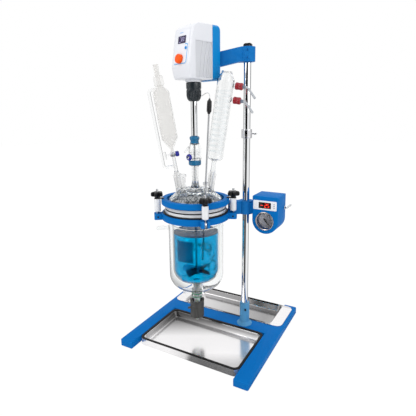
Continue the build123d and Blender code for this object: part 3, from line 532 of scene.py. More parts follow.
def new_group(name, inputs, outputs):
    """An empty shader node group with its sockets, and its input and output sides."""
    tree = bpy.data.node_groups.new(name, "ShaderNodeTree")
    for label, kind, default in inputs:
        socket = tree.interface.new_socket(name=label, in_out="INPUT", socket_type="NodeSocket" + kind)
        socket.default_value = default
    for label, kind in outputs:
        tree.interface.new_socket(name=label, in_out="OUTPUT", socket_type="NodeSocket" + kind)
    return tree, tree.nodes.new("NodeGroupInput").outputs, tree.nodes.new("NodeGroupOutput")


GREY = (0.5, 0.5, 0.5, 1)
SURFACE_OUTPUTS = (("Colour", "Color"), ("Roughness", "Float"), ("Height", "Float"))


def uneven(tree, source, pattern):
    """The colour and gloss that a pattern changes by the group's Shade and Spread."""
    change = calc(tree, "MULTIPLY", calc(tree, "SUBTRACT", pattern, 0.5), source["Spread"])
    return {
        "Colour": dimmed(tree, source["Colour"], pattern, source["Shade"]),
        "Roughness": calc(tree, "ADD", source["Roughness"], change, clamp=True),
    }


@cache
def surface_group():
    """Cloudy change of colour and gloss, with a fine grain."""
    tree, source, sink = new_group(
        "Surface",
        (
            ("Colour", "Color", GREY), ("Shade", "Float", 0.1), ("Roughness", "Float", 0.4),
            ("Spread", "Float", 0.1), ("Cloud Scale", "Float", 18.0), ("Grain Scale", "Float", 900.0),
        ),
        SURFACE_OUTPUTS,
    )
    place = object_place(tree)
    clouds = noise_of(tree, place, source["Cloud Scale"], 4.0)
    grain = noise_of(tree, place, source["Grain Scale"], 2.0)
    feed(tree, sink, {**uneven(tree, source, clouds), "Height": grain})
    return tree


@cache
def streak_group():
    """Fine streaks along one direction, as on brushed or drawn metal."""
    tree, source, sink = new_group(
        "Streaks",
        (
            ("Colour", "Color", (0.6, 0.6, 0.6, 1)), ("Direction", "Vector", (1.0, 1.0, 1.0)),
            ("Shade", "Float", 0.15), ("Roughness", "Float", 0.25), ("Spread", "Float", 0.15),
        ),
        SURFACE_OUTPUTS,
    )
    drawn = wire(tree, "Mapping", {"Vector": object_place(tree), "Scale": source["Direction"]}).outputs[0]
    lines = noise_of(tree, drawn, 1.0, 5.0, Roughness=0.65)
    feed(tree, sink, {**uneven(tree, source, lines), "Height": lines})
    return tree


@cache
def rub_and_highlight_group():
    """Edges made lighter in patches: partly rubbed paint, partly painted highlight where light catches them.
    """
    tree, source, sink = new_group(
        "Edge wear",
        (("Colour", "Color", GREY), ("Rubbed And Highlit", "Color", (0.7, 0.7, 0.7, 1)), ("Amount", "Float", 0.3)),
        (("Colour", "Color"), ("Mask", "Float")),
    )
    edge = progress(tree, wire(tree, "NewGeometry").outputs["Pointiness"], 0.52, 0.62)
    patchy = noise_of(tree, object_place(tree), 60.0, 3.0)
    mask = calc(tree, "MULTIPLY", calc(tree, "MULTIPLY", edge, patchy), source["Amount"], clamp=True)
    blend_colours(tree, mask, source["Colour"], source["Rubbed And Highlit"], sink.inputs["Colour"])
    feed(tree, sink, {"Mask": mask})
    return tree


# Share of the full turn, clockwise from -Y, and how bright the studio is there
CARDS = (
    (0.0, 0.0), (0.050, 0.0), (0.062, 0.95), (0.20, 1.0), (0.235, 0.45), (0.30, 0.40), (0.34, 1.0),
    (0.56, 1.0),
    (0.60, 0.40), (0.66, 0.25), (0.70, 0.95), (0.893, 0.95), (0.905, 0.0), (1.0, 0.0),
)


@cache
def cards_group():
    """How bright the studio is in a direction: pale walls, a few dark cards, white above."""
    tree, source, sink = new_group(
        "Studio cards", (("Direction", "Vector", (0, 0, 1)),), (("Light", "Float"),)
    )
    parts = split(tree, source["Direction"])
    share = progress(tree, calc(tree, "ARCTAN2", parts["X"], parts["Y"]), -pi, pi)
    walls = ramped(tree, share, [(spot, (bright,)) for spot, bright in CARDS], "EASE")
    upward = progress(tree, parts["Z"], 0.55, 0.8)
    sky = wire(tree, "Mix", {"Factor": upward, "A": walls, "B": 1.0}, data_type="FLOAT").outputs[0]
    feed(tree, sink, {"Light": sky})
    return tree


def use_group(tree, group, inputs):
    """A node group placed in a material with its own values."""
    made = tree.nodes.new("ShaderNodeGroup")
    made.node_tree = group
    return feed(tree, made, inputs).outputs


def plain(name, **sockets):
    """A material with its Principled shader; sockets are set by name."""
    made = bpy.data.materials.new(name)
    made.use_nodes = True
    shader = made.node_tree.nodes["Principled BSDF"]
    for key, value in sockets.items():
        shader.inputs[key.replace("_", " ")].default_value = value
    return made, made.node_tree, shader


def link_surface(tree, shader, surface, strength, distance=0.001, colour=None):
    """Send a surface's colour, gloss and height to the shader."""
    bump = wire(
        tree, "Bump", {"Height": surface["Height"], "Strength": strength, "Distance": distance}
    ).outputs[0]
    feed(tree, shader, {"Roughness": surface["Roughness"], "Normal": bump})
    if colour:
        tree.links.new(colour, shader.inputs["Base Color"])


def coated(
    colour, roughness, shade=0.08, spread=0.12, grain=900.0, bump=0.02, worn_and_highlit=None, wear_and_highlight=0.0, name="coated",
    **sockets
):
    """Paint, plastic or rubber: clouded colour and gloss, fine grain, and edges made lighter by rubbing and
    by painted highlight.
    """
    made, tree, shader = plain(name, **sockets)
    surface = use_group(tree, surface_group(), {
        "Colour": (*colour, 1), "Shade": shade, "Roughness": roughness, "Spread": spread, "Cloud Scale": 22.0,
        "Grain Scale": grain,
    })
    tint = surface["Colour"]
    # Lighter edges: rubbed paint together with painted highlight where light catches them
    if wear_and_highlight:
        tint = use_group(tree, rub_and_highlight_group(), {"Colour": tint, "Rubbed And Highlit": (*worn_and_highlit, 1), "Amount": wear_and_highlight})["Colour"]
    link_surface(tree, shader, surface, bump, colour=tint)
    return made


def metal(colour, roughness, direction, shade=0.15, spread=0.15, bump=0.02, name="metal", **sockets):
    """Bare metal with streaks along its working direction."""
    made, tree, shader = plain(name, Metallic=1.0, **sockets)
    drawn = use_group(tree, streak_group(), {
        "Colour": (*colour, 1), "Direction": direction, "Shade": shade, "Roughness": roughness,
        "Spread": spread,
    })
    link_surface(tree, shader, drawn, bump, 0.0005, drawn["Colour"])
    return made


def clear(colour, roughness=0.0, ripple=0.04, scale=35.0, edge=None, start=0.6, name="clear", **sockets):
    """Glass with a slight ripple in its surface, and, where an edge colour is given, that colour painted
    where the surface turns from view, standing for refraction's edge light and shade.
    """
    made, tree, shader = plain(name, Base_Color=(*colour, 1), **sockets)
    surface = use_group(tree, surface_group(), {
        "Colour": (*colour, 1), "Shade": 0.02, "Roughness": roughness, "Spread": 0.02, "Grain Scale": scale,
    })
    link_surface(tree, shader, surface, ripple, 0.002)
    if edge:
        # Painted light and shade: the edge colour is laid where the surface turns from view
        facing = wire(tree, "LayerWeight", {"Blend": 0.5}).outputs["Facing"]
        painted_edge_tone = progress(tree, facing, start, 0.97)
        blend_colours(tree, painted_edge_tone, surface["Colour"], (*edge, 1), shader.inputs["Base Color"])
    return made


def glass_painted_veins(colour, painted_vein, name="glass_painted_veins"):
    """Blown glass with painted shade: dark wavy lines in its colour stand for light bent by an uneven wall.
    """
    made, tree, shader = plain(name, Transmission_Weight=0.86, IOR=1.16, Roughness=0.0)
    place = object_place(tree)
    wavy = noise_of(tree, place, 24.0, 1.0, Distortion=0.6)
    # Painted shade: narrow dark bands of the noise stand for the lines refraction draws in blown glass
    painted_vein_stops = ((0.0, 0), (0.40, 0), (0.43, 1), (0.46, 0), (0.53, 0), (0.56, 1), (0.59, 0), (1.0, 0))
    lines = ramped(tree, wavy, [(spot, (float(dark),)) for spot, dark in painted_vein_stops])
    dark = wire(tree, "SeparateColor", {0: lines}).outputs[0]
    blend_colours(tree, dark, (*colour, 1), (*painted_vein, 1), shader.inputs["Base Color"])
    bent_wall = {"Height": noise_of(tree, place, 20.0, 0.0), "Strength": 0.4, "Distance": 0.005}
    tree.links.new(wire(tree, "Bump", bent_wall).outputs[0], shader.inputs["Normal"])
    return made


def tray_steel_painted_shade(direction, stops, wall_from, far_wall_painted_tone, name="tray_steel_painted_shade"):
    """Polished tray steel with painted light: bands of painted reflection and shade along one floor
    direction, and painted shade on its darker far wall.
    """
    made, tree, shader = plain(name, Metallic=0.8)
    place = object_place(tree)
    half = 0.3  # the shade's ramp reaches this far, in metres, on both sides of the origin
    # Painted reflection and shade: light and dark bands laid along one floor direction
    share = progress(tree, along(tree, place, direction), -half, half)
    painted_tones = [((spot + half) / (2 * half), (tone, tone * 0.985, tone * 0.99)) for spot, tone in stops]
    shade = ramped(tree, share, painted_tones)
    # Painted shade: the far wall is darkened to a kept share of its brightness
    wall = progress(tree, split(tree, place)["Y"], wall_from, wall_from + 0.004)
    drawn = use_group(tree, streak_group(), {
        "Colour": (1, 1, 1, 1), "Direction": (420, 6, 420), "Shade": 0.05, "Roughness": 0.16, "Spread": 0.1,
    })
    painted_shaded = {0: dimmed(tree, shade, wall, 1 - far_wall_painted_tone), 1: drawn["Colour"]}
    final = wire(tree, "VectorMath", painted_shaded, operation="MULTIPLY").outputs[0]
    link_surface(tree, shader, drawn, 0.004, 0.0005, final)
    return made


def fasteners(low_colour, high_colour, name="fasteners"):
    """Screws and pins: dark on the rings, painted over on the arm at the top."""
    made, tree, shader = plain(name, Metallic=0.0, Specular_IOR_Level=0.2)
    high = progress(tree, split(tree, object_place(tree))["Z"], 0.6, 0.61)
    surface = use_group(tree, surface_group(), {
        "Colour": (1, 1, 1, 1), "Shade": 0.2, "Roughness": 0.45, "Grain Scale": 500.0,
    })
    blend_colours(tree, high, (*low_colour, 1), (*high_colour, 1), shader.inputs["Base Color"])
    link_surface(tree, shader, surface, 0.05)
    return made


# Two level directions: along the front of the photographed view, and out towards the viewer
ACROSS, TOWARD = (0.878, 0.479, 0.0), (0.479, -0.878, 0.0)


def painted_light_liquid(colour, name="painted_light_liquid"):
    """Stirred liquid with painted light: swirls of painted highlight and shade, a dark ribbed block of
    painted shade beside the stirrer, and a painted dark edge.
    """
    made, tree, shader = plain(name, Transmission_Weight=0.97, IOR=1.1)
    place = object_place(tree)
    tall = wire(tree, "Mapping", {"Vector": place, "Scale": (1.0, 1.0, 0.8)}).outputs[0]
    swirl = noise_of(tree, tall, 21.0, 3.0, Distortion=2.2)
    # Painted highlight and shade: the swirl's stops run from dark to brighter than the liquid's own colour
    painted_tones = ((0.30, 0.16), (0.37, 0.6), (0.43, 0.9), (0.55, 1.0), (0.62, 1.15), (0.70, 1.7))
    painted_swirl_colours = ramped(tree, swirl, [(spot, [min(1.0, part * tone) for part in colour]) for spot, tone in painted_tones])
    height = split(tree, place)["Z"]
    # The painted shade block's two sides on each axis, and how softly it fades there
    sides = (
        (along(tree, place, ACROSS), -0.126, -0.066, 0.007), (height, 0.296, 0.378, 0.008),
        (along(tree, place, TOWARD), 0.034, 0.3, 0.006),
    )
    painted_shade_block = 1.0
    for value, low, high, soft in sides:
        rise = progress(tree, value, low, low + soft, interpolation_type="SMOOTHSTEP")
        fall = progress(tree, value, high, high - soft, interpolation_type="SMOOTHSTEP")
        painted_shade_block = calc(tree, "MULTIPLY", calc(tree, "MULTIPLY", rise, fall), painted_shade_block)
    # Painted shade: the block is darkened with fine level ribs
    ribs = calc(tree, "SINE", calc(tree, "MULTIPLY", height, 1300.0))
    share = calc(tree, "MULTIPLY", calc(tree, "MULTIPLY_ADD", ribs, 0.05, 0.94), painted_shade_block)
    dark = blend_colours(tree, share, painted_swirl_colours, (0.0, 0.002, 0.03, 1))
    # Painted shade: a dark edge where the liquid turns from view
    facing = wire(tree, "LayerWeight", {"Blend": 0.5}).outputs["Facing"]
    painted_edge_tone = wire(
        tree, "MapRange", {"Value": facing, "From Min": 0.45, "From Max": 1.0, "To Max": 0.8}
    ).outputs[0]
    blend_colours(tree, painted_edge_tone, dark, (0.0, 0.05, 0.16, 1), shader.inputs["Base Color"])
    surface = use_group(tree, surface_group(), {"Roughness": 0.03, "Spread": 0.04, "Grain Scale": 30.0})
    link_surface(tree, shader, surface, 0.12, 0.002)
    return made


def lit(colour, strength, name="lit"):
    """Display segments that glow a little unevenly."""
    made, tree, shader = plain(name, Emission_Strength=strength, Roughness=0.4)
    glow = use_group(tree, surface_group(), {"Colour": (*colour, 1), "Shade": 0.25, "Cloud Scale": 400.0})
    feed(tree, shader, {"Base Color": glow["Colour"], "Emission Color": glow["Colour"]})
    return made


def recipes():
    """How each finish is made, by name."""
    colours = bpy.context.scene.reactor_colours
    blue = tuple(colours.frame_blue)
    return {
        # Edge colours and amounts below lighten edges by rubbing and by painted highlight
        "frame_paint": partial(
            coated, blue, 0.5, shade=0.12, grain=420.0, bump=0.03, worn_and_highlit=(0.06, 0.32, 0.68), wear_and_highlight=0.3,
            Specular_IOR_Level=0.05
        ),
        "cover_plastic": partial(
            coated, tuple(colours.cover_blue), 0.4, shade=0.06, grain=1400.0, bump=0.02,
            worn_and_highlit=(0.05, 0.38, 0.75), wear_and_highlight=0.2, Specular_IOR_Level=0.15
        ),
        "white_shell": partial(
            coated, (0.80, 0.81, 0.85), 0.3, shade=0.05, grain=1600.0, bump=0.015, worn_and_highlit=(0.9, 0.9, 0.92),
            wear_and_highlight=0.2, Coat_Weight=0.3, Coat_Roughness=0.1
        ),
        "panel_foil": partial(coated, (0.84, 0.85, 0.89), 0.22, shade=0.04, grain=2000.0, bump=0.01),
        "panel_line": partial(coated, (0.03, 0.36, 0.76), 0.3, shade=0.05, grain=2000.0, bump=0.01),
        "blue_button": partial(coated, (0.01, 0.26, 0.68), 0.25, shade=0.05, bump=0.01),
        "dark_display": partial(coated, (0.028, 0.018, 0.075), 0.12, shade=0.3, bump=0.005),
        "orange_knob": partial(
            coated, tuple(colours.knob_orange), 0.36, shade=0.08, grain=1500.0, bump=0.015,
            worn_and_highlit=(1.0, 0.35, 0.1), wear_and_highlight=0.3, Specular_IOR_Level=0.2
        ),
        "chuck_black": partial(
            coated, (0.022, 0.03, 0.036), 0.2, shade=0.3, grain=1100.0, bump=0.05, worn_and_highlit=(0.12, 0.13, 0.15),
            wear_and_highlight=0.6
        ),
        "star_black": partial(
            coated, (0.006, 0.006, 0.007), 0.3, shade=0.3, grain=1200.0, bump=0.04, worn_and_highlit=(0.05, 0.05, 0.06),
            wear_and_highlight=0.4, Specular_IOR_Level=0.25
        ),
        "black_rubber": partial(
            coated, (0.006, 0.006, 0.006), 0.5, shade=0.3, grain=700.0, bump=0.08, Specular_IOR_Level=0.2
        ),
        "gasket_rubber": partial(
            coated, (0.01, 0.008, 0.007), 0.5, shade=0.3, grain=700.0, bump=0.06, Specular_IOR_Level=0.2
        ),
        "mirror_steel": partial(metal, (0.86, 0.86, 0.88), 0.05, (3, 3, 1200), spread=0.05, bump=0.004),
        "drawn_steel": partial(
            metal, (0.90, 0.91, 0.92), 0.035, (900, 900, 4), shade=0.06, spread=0.03, bump=0.002
        ),
        # Tray steel with painted reflection and shade: bands along the floor, then where the far wall starts
        # and how much brightness it keeps
        "front_tray_steel": partial(
            tray_steel_painted_shade, (-0.479, 0.878, 0),
            (
                (-0.27, 0.80), (-0.21, 0.62), (-0.15, 0.97), (-0.05, 0.92), (0.0, 0.55), (0.04, 0.28),
                (0.09, 0.12)
            ),
            0.002, 0.4
        ),
        "rear_tray_steel": partial(
            tray_steel_painted_shade, (1, 0, 0),
            ((-0.187, 0.9), (-0.18, 0.82), (-0.1, 0.7), (0.14, 0.36), (0.182, 0.45), (0.187, 0.95)), 0.216,
            0.8
        ),
        # Grey slats: painted shade in the sunk side panels
        "slat_grey_painted_shade": partial(coated, (0.66, 0.67, 0.70), 0.5, shade=0.05, grain=1500.0, bump=0.015),
        "screws": partial(fasteners, (0.012, 0.016, 0.022), blue),
        "socket_paint": partial(
            coated, (0.10, 0.36, 0.66), 0.4, shade=0.35, grain=420.0, bump=0.08, worn_and_highlit=(0.4, 0.7, 0.9),
            wear_and_highlight=0.6, Specular_IOR_Level=0.2
        ),
        "blade_steel": partial(metal, (0.16, 0.24, 0.32), 0.25, (300, 300, 300), bump=0.02),
        "satin_steel": partial(metal, (0.72, 0.73, 0.75), 0.28, (700, 700, 30)),
        "white_sleeve": partial(coated, (0.83, 0.84, 0.86), 0.24, shade=0.08, grain=900.0, Coat_Weight=0.4),
        "white_ptfe": partial(
            coated, (0.86, 0.87, 0.87), 0.38, shade=0.06, grain=700.0, bump=0.03, Subsurface_Weight=0.15
        ),
        # Edge colours of the glass finishes are painted: dark on most glass, pale on the coil, laid where the
        # surface turns from view
        "clear_glass": partial(
            clear, (0.985, 0.99, 0.99), edge=(0.16, 0.17, 0.17), start=0.74, Transmission_Weight=1.0, IOR=1.47
        ),
        "thin_glass": partial(
            clear, (0.98, 0.99, 0.99), edge=(0.03, 0.04, 0.045), start=0.76, Transmission_Weight=1.0, IOR=1.12
        ),
        # The dome's second colour is the painted dark line colour
        "dome_glass": partial(glass_painted_veins, (0.98, 0.99, 0.99), (0.004, 0.055, 0.085)),
        "milky_glass": partial(
            clear, (0.93, 0.925, 0.915), 0.1, 0.05, 60.0, edge=(0.2, 0.2, 0.19), start=0.76,
            Transmission_Weight=0.93, IOR=1.06
        ),
        "ground_glass": partial(
            clear, (0.99, 0.99, 0.99), 0.12, 0.05, 300.0, edge=(0.55, 0.56, 0.56), start=0.8,
            Transmission_Weight=0.9, IOR=1.06
        ),
        "flange_glass": partial(
            coated, (0.74, 0.75, 0.77), 0.22, shade=0.12, grain=500.0, bump=0.02, Transmission_Weight=0.25,
            Coat_Weight=1.0, Coat_Roughness=0.04, IOR=1.47
        ),
        "coil_glass": partial(
            clear, (0.95, 0.97, 0.98), edge=(0.72, 0.74, 0.75), start=0.8, Transmission_Weight=1.0, IOR=1.02
        ),
        # The liquid's colour carries painted highlight and shade
        "blue_liquid": partial(painted_light_liquid, tuple(colours.liquid)),
        # The liquid's top face: a darker opaque copy of the liquid, painted shade, clouded unevenly
        "liquid_top_painted_shade": partial(
            coated, (0.05, 0.16, 0.36), 0.12, shade=0.85, spread=0.05, grain=60.0, bump=0.05,
            Specular_IOR_Level=0.25
        ),
        "seal_blue": partial(
            coated, (0.008, 0.17, 0.36), 0.26, shade=0.12, grain=1300.0, worn_and_highlit=(0.1, 0.4, 0.6), wear_and_highlight=0.4,
            Transmission_Weight=0.1
        ),
        "nut_violet": partial(
            coated, (0.015, 0.02, 0.30), 0.24, shade=0.12, grain=1300.0, worn_and_highlit=(0.15, 0.15, 0.6), wear_and_highlight=0.4
        ),
        "cap_red": partial(
            coated, tuple(colours.cap_red), 0.27, shade=0.15, grain=1200.0, worn_and_highlit=(0.6, 0.1, 0.12), wear_and_highlight=0.45
        ),
        "hose_grey": partial(coated, (0.50, 0.52, 0.55), 0.35, shade=0.2, grain=900.0),
        "lead_white": partial(coated, (0.62, 0.63, 0.64), 0.4, shade=0.12, grain=1500.0, bump=0.03),
        "hub_grey": partial(coated, (0.20, 0.24, 0.31), 0.35, shade=0.2, grain=900.0),
        "drain_grey": partial(
            coated, (0.058, 0.057, 0.053), 0.45, shade=0.25, grain=800.0, bump=0.06, worn_and_highlit=(0.2, 0.2, 0.19),
            wear_and_highlight=0.5
        ),
        "seal_green": partial(coated, (0.01, 0.24, 0.11), 0.4, shade=0.15, grain=800.0),
        "probe_black": partial(coated, (0.01, 0.01, 0.011), 0.4, shade=0.3, grain=1000.0, bump=0.05),
        "dial_silver": partial(metal, (0.84, 0.83, 0.90), 0.45, (260, 260, 260), bump=0.01),
        "dial_ink": partial(coated, (0.01, 0.01, 0.012), 0.5, shade=0.2, bump=0.01),
        "bezel_steel": partial(metal, (0.62, 0.55, 0.50), 0.22, (500, 500, 500)),
        "window_black": partial(coated, (0.008, 0.006, 0.006), 0.1, shade=0.2, bump=0.004),
        "red_digits": partial(lit, (1.0, 0.03, 0.01), 1.6),
        "pale_digits": partial(lit, (0.42, 0.40, 0.62), 0.6),
        "fitting_steel": partial(metal, (0.75, 0.76, 0.78), 0.16, (500, 500, 500), bump=0.01),
    }


@cache
def finish_named(name):
    """The material for a finish, built the first time it is asked for."""
    return recipes()[name](name=name)


SEGMENTS = {
    "0": "abcdef", "1": "bc", "2": "abged", "3": "abgcd", "4": "fgbc",
    "5": "afgcd", "6": "afgedc", "7": "abc", "8": "abcdefg", "9": "abcdfg",
}


def show_digits(shape, text, height, where, mat, depth=0.25):
    """Seven-segment digits in the local XY plane, centred."""
    wide = height * 0.5
    thick = height * 0.11
    step = wide * 1.42
    left = -step * (len(text) - 1) / 2
    for index, digit in enumerate(text):
        x = left + index * step
        spots = {
            "a": (x, height / 2, wide, thick), "g": (x, 0, wide, thick), "d": (x, -height / 2, wide, thick),
            "b": (x + wide / 2, height / 4, thick, height / 2),
            "c": (x + wide / 2, -height / 4, thick, height / 2),
            "f": (x - wide / 2, height / 4, thick, height / 2),
            "e": (x - wide / 2, -height / 4, thick, height / 2),
        }
        for name in SEGMENTS[digit]:
            cx, cy, w, h = spots[name]
            low = (cx - w * 0.46, cy - h * 0.46, 0)
            shape.box(low, (cx + w * 0.46, cy + h * 0.46, depth), where, edge=0.12, steps=1, mat=mat)


# How much of the floor's look is its own white glow, and the column's foot, which its cards stand round
FLOOR_GLOW = 0.93
COLUMN_FOOT = (0.098, 0.047, 0)


class REACTOR_OT_stage(bpy.types.Operator):
    """Pale floor, soft light, white surround and the camera"""

    bl_idname = "reactor.stage"
    bl_label = "Stage, light and camera"

    def execute(self, context):
        scene = context.scene
        scene.view_settings.view_transform = "Standard"
        self.make_camera(scene)
        self.make_world(scene)
        self.make_floor()
        self.make_lamps(scene)
        return {"FINISHED"}

    def make_camera(self, scene):
        """The camera, placed as the base's corners show it."""
        lens = bpy.data.cameras.new("camera")
        lens.lens = 32.9
        lens.sensor_width = 36.0
        lens.shift_y = -0.04
        lens.dof.use_dof = False
        camera = link("camera", lens)
        camera.location = (0.5915, -1.1209, 0.7861)
        camera.rotation_euler = (radians(78.0), radians(0.5), radians(28.64))
        scene.camera = camera

    def make_world(self, scene):
        """White to the camera, cards to metal and glass, and soft light on the rest."""
        world = bpy.data.worlds.new("studio")
        scene.world = world
        world.use_nodes = True
        tree = world.node_tree
        tree.nodes.clear()
        ray = wire(tree, "LightPath").outputs
        cards = use_group(tree, cards_group(), {"Direction": wire(tree, "TexCoord").outputs["Generated"]})
        mirrored = calc(tree, "MAXIMUM", ray["Is Glossy Ray"], ray["Is Transmission Ray"])
        soft = wire(tree, "Background", {"Color": (0.98, 0.99, 1.0, 1), "Strength": 0.86}).outputs[0]
        cards_light = wire(tree, "Background", {"Color": cards["Light"], "Strength": 1.0}).outputs[0]
        white = wire(tree, "Background", {"Color": (1, 1, 1, 1), "Strength": 1.0}).outputs[0]
        lighting = wire(tree, "MixShader", {0: mirrored, 1: soft, 2: cards_light}).outputs[0]
        shown = wire(tree, "MixShader", {0: ray["Is Camera Ray"], 1: lighting, 2: white}).outputs[0]
        wire(tree, "OutputWorld", {0: shown})

    def make_floor(self):
        """A wide pale disc that stays white to the camera but keeps the shadow."""
        mesh = bpy.data.meshes.new("floor")
        made = bmesh.new()
        bmesh.ops.create_circle(made, cap_ends=True, segments=96, radius=9.0)
        made.to_mesh(mesh)
        made.free()
        floor = link("floor", mesh)
        floor.location.z = -0.0005
        paper, tree, shader = plain(
            "floor_paper", Base_Color=(0.93, 0.93, 0.93, 1), Roughness=0.85, Specular_IOR_Level=0.1
        )
        ray = wire(tree, "LightPath").outputs
        seen = calc(tree, "MAXIMUM", ray["Is Camera Ray"], ray["Is Transmission Ray"])
        share = calc(tree, "MULTIPLY", calc(tree, "MAXIMUM", seen, ray["Is Glossy Ray"]), FLOOR_GLOW)
        away = wire(
            tree, "VectorMath", {0: object_place(tree), 1: COLUMN_FOOT}, operation="SUBTRACT"
        ).outputs[0]
        cards = use_group(tree, cards_group(), {"Direction": away})
        mirrored = {"Factor": ray["Is Glossy Ray"], "A": 1.04, "B": cards["Light"]}
        bright = wire(tree, "Mix", mirrored, data_type="FLOAT").outputs[0]
        glow = wire(tree, "Emission", {"Color": (1, 1, 1, 1), "Strength": bright}).outputs[0]
        mixed = wire(tree, "MixShader", {0: share, 1: shader.outputs[0], 2: glow}).outputs[0]
        tree.links.new(mixed, tree.nodes["Material Output"].inputs[0])
        mesh.materials.append(paper)

    def make_lamps(self, scene):
        """Three soft round lamps, aimed at the object's middle."""
        power = scene.reactor_sizes.lamp_power
        spots = (
            ("key_lamp", (-1.1, -1.9, 2.3), 1.5, power),
            ("side_lamp", (1.9, -0.6, 1.6), 1.2, power * 0.45),
            ("top_lamp", (-0.2, 0.9, 2.6), 1.6, power * 0.5),
        )
        for name, place, size, watts in spots:
            data = bpy.data.lights.new(name, "AREA")
            data.shape = "DISK"
            data.size = size
            data.energy = watts
            lamp = link(name, data)
            lamp.location = place
            aim = Vector((0, 0, 0.5)) - Vector(place)
            lamp.rotation_euler = aim.to_track_quat("-Z", "Y").to_euler()


class REACTOR_OT_base(bpy.types.Operator):
    """Base frame, pads and the two steel trays"""

    bl_idname = "reactor.base"
    bl_label = "Base and trays"

    def execute(self, context):
        x, y, bay, front, back = 235.0, 245.0, 187.0, 18.0, 76.0
        outline = rounded(
            (x, -y, 5), (x, y, 5), (bay, y, 3), (bay, back), (-bay, back), (-bay, y, 3), (-x, y, 5),
            (-x, -y, 5),
            (-bay, -y, 3), (-bay, front), (bay, front), (bay, -y, 3), steps=4,
        )
        Shape().prism(outline, 2, 26, edge=2.2, steps=3).finish(
            "painted_base", "root", ["frame_paint"], ["base_frame"], "blue_paint"
        )
        dress("foot_pads", "black_rubber")
        self.front_tray()
        self.rear_tray()
        return {"FINISHED"}

    def rings(self, width, depth, steps):
        """Rounded outlines drawn in by an inset, each at its height."""
        made = []
        for inset, height in steps:
            corner = max(TRAY_CORNER - inset * 0.75, 5.0)
            made.append(raised(rounded_rect(width - 2 * inset, depth - 2 * inset, corner), height))
        return made

    def front_tray(self):
        """A pressed pan with sloping sides, and the wide rubber bead round its edge."""
        low, high = -206.0, 17.5
        middle = at(0, (low + high) / 2, 0)
        pan = (
            (1.0, 0.4), (0, 1.6), (0, 23.2), (0.4, 24.2), (1.1, 24.4), (1.5, 23.8), (9.0, 22.4), (10.0, 21.6),
            (15.0, 5.4), (16.2, 3.2), (18.5, 2.1), (22.0, 1.9),
        )
        Shape().loft(self.rings(TRAY_WIDTH, high - low, pan), middle).finish(
            "front_pan", "front_tray", ["front_tray_steel"], ["front_tray"], "polished_steel"
        )
        bead = (
            (0.15, 22.6), (0.15, 24.6), (0.9, 25.6), (2.4, 25.9), (6.8, 25.9), (8.2, 25.5), (9.0, 24.4),
            (9.0, 20.0),
            (1.6, 20.0),
        )
        Shape().loft(self.rings(TRAY_WIDTH, high - low, bead), middle, closed=True).finish(
            "front_bead", "front_tray", ["black_rubber"], ["front_tray_rim"], "rubber_black"
        )

    def rear_tray(self):
        """A pan whose ends lie over the side bars, with rubber strips along its long sides."""
        over, low, high = 450.0, 76.5, 232.0
        depth = high - low
        middle = at(0, (low + high) / 2, 0)
        outside = self.rings(TRAY_WIDTH, depth, ((1.0, 0.4), (0, 1.6), (0, 26.3)))
        lip = self.rings(over, depth, ((0.3, 26.3), (0, 26.6), (0, 27.3), (0.5, 27.8)))
        inside = self.rings(
            TRAY_WIDTH, depth,
            ((0.8, 27.8), (1.6, 27.2), (5.8, 20.0), (11.0, 5.4), (12.5, 3.2), (15.0, 2.1), (19.0, 1.9))
        )
        Shape().loft(outside + lip + inside, middle).finish(
            "rear_pan", "rear_tray", ["rear_tray_steel"], ["rear_tray"], "polished_steel"
        )
        strips = Shape()
        for side in (low + 0.4, high - 5.4):
            strips.box((-165, side, 22.9), (165, side + 5.0, 28.3), edge=1.2, steps=3)
        strips.finish("rear_strips", "rear_tray", ["black_rubber"], ["rear_tray_rim"], "rubber_black")


class REACTOR_OT_column(bpy.types.Operator):
    """Column, its socket, arms, boss clamp, screws and the hand knob"""

    bl_idname = "reactor.column"
    bl_label = "Column and arms"

    def execute(self, context):
        Shape().bar(COLUMN_RADIUS, 26, 972, COLUMN, edge=1.0, steps=64).finish(
            "steel_column", "root", ["drawn_steel"], ["column"], "polished_steel"
        )
        socket = rounded(
            (COLUMN_RADIUS, 26), (27, 26), (27, 28.5, 1), (21, 32.5, 5), (17, 38, 4), (17, 109, 1.2),
            (COLUMN_RADIUS, 109), steps=4,
        )
        Shape().lathe(socket, COLUMN, 56).finish(
            "painted_socket", "root", ["socket_paint"], ["column_socket"], "blue_paint"
        )
        knob = Shape().bar(11.5, 972.2, 984, COLUMN, edge=1.5)
        knob.bar(6, 983, 990, COLUMN, edge=1.0)
        arch = [
            (-14, 980.8, 1), (-10.5, 981.2, 0.8), (-9, 986, 1.5), (9, 986, 1.5), (10.5, 981.2, 0.8),
            (14, 980.8, 1),
            (13.6, 988, 2), (9, 991.6, 4), (-9, 991.6, 4), (-13.6, 988, 2),
        ]
        side = rounded(*arch, steps=3)
        rings = [[Vector((x, y, z)) for x, z in ((p.x, p.y) for p in side)] for y in (-4.2, 4.2)]
        knob.loft(rings, COLUMN)
        knob.finish("hand_knob", "column_knob", ["star_black"], ["column_knob"], "black_plastic")
        for node in ("upper_arm", "lower_arm"):
            dress(node, "frame_paint")
        dress("screws_and_pins", "screws")
        boss = Shape().pipe(18, COLUMN_RADIUS + 0.05, 696, 726, COLUMN, edge=1.6, steps=56)
        for low in (699, 720):
            boss.pipe(18.4, COLUMN_RADIUS + 0.5, low, low + 3, COLUMN, edge=0.8, steps=56)
        boss.finish("boss_ring", "boss_clamp", ["mirror_steel"], ["boss_clamp"], "polished_steel")
        aim = COLUMN @ turn(z=17.8) @ at(0, 0, 711) @ turn(y=90)
        screw = Shape().bar(2.5, 13, 31, aim)
        screw.bar(4.2, 24, 29, aim, edge=1)
        screw.prism(
            rounded((-5, -9, 3), (5, -9, 3), (5, 9, 3), (-5, 9, 3), steps=5), -2, 2,
            aim @ at(0, 0, 29) @ turn(y=90),
            edge=1.2,
        )
        screw.finish("boss_thumb_screw", "boss_screw", ["fitting_steel"], ["boss_screw"], "steel")
        return {"FINISHED"}


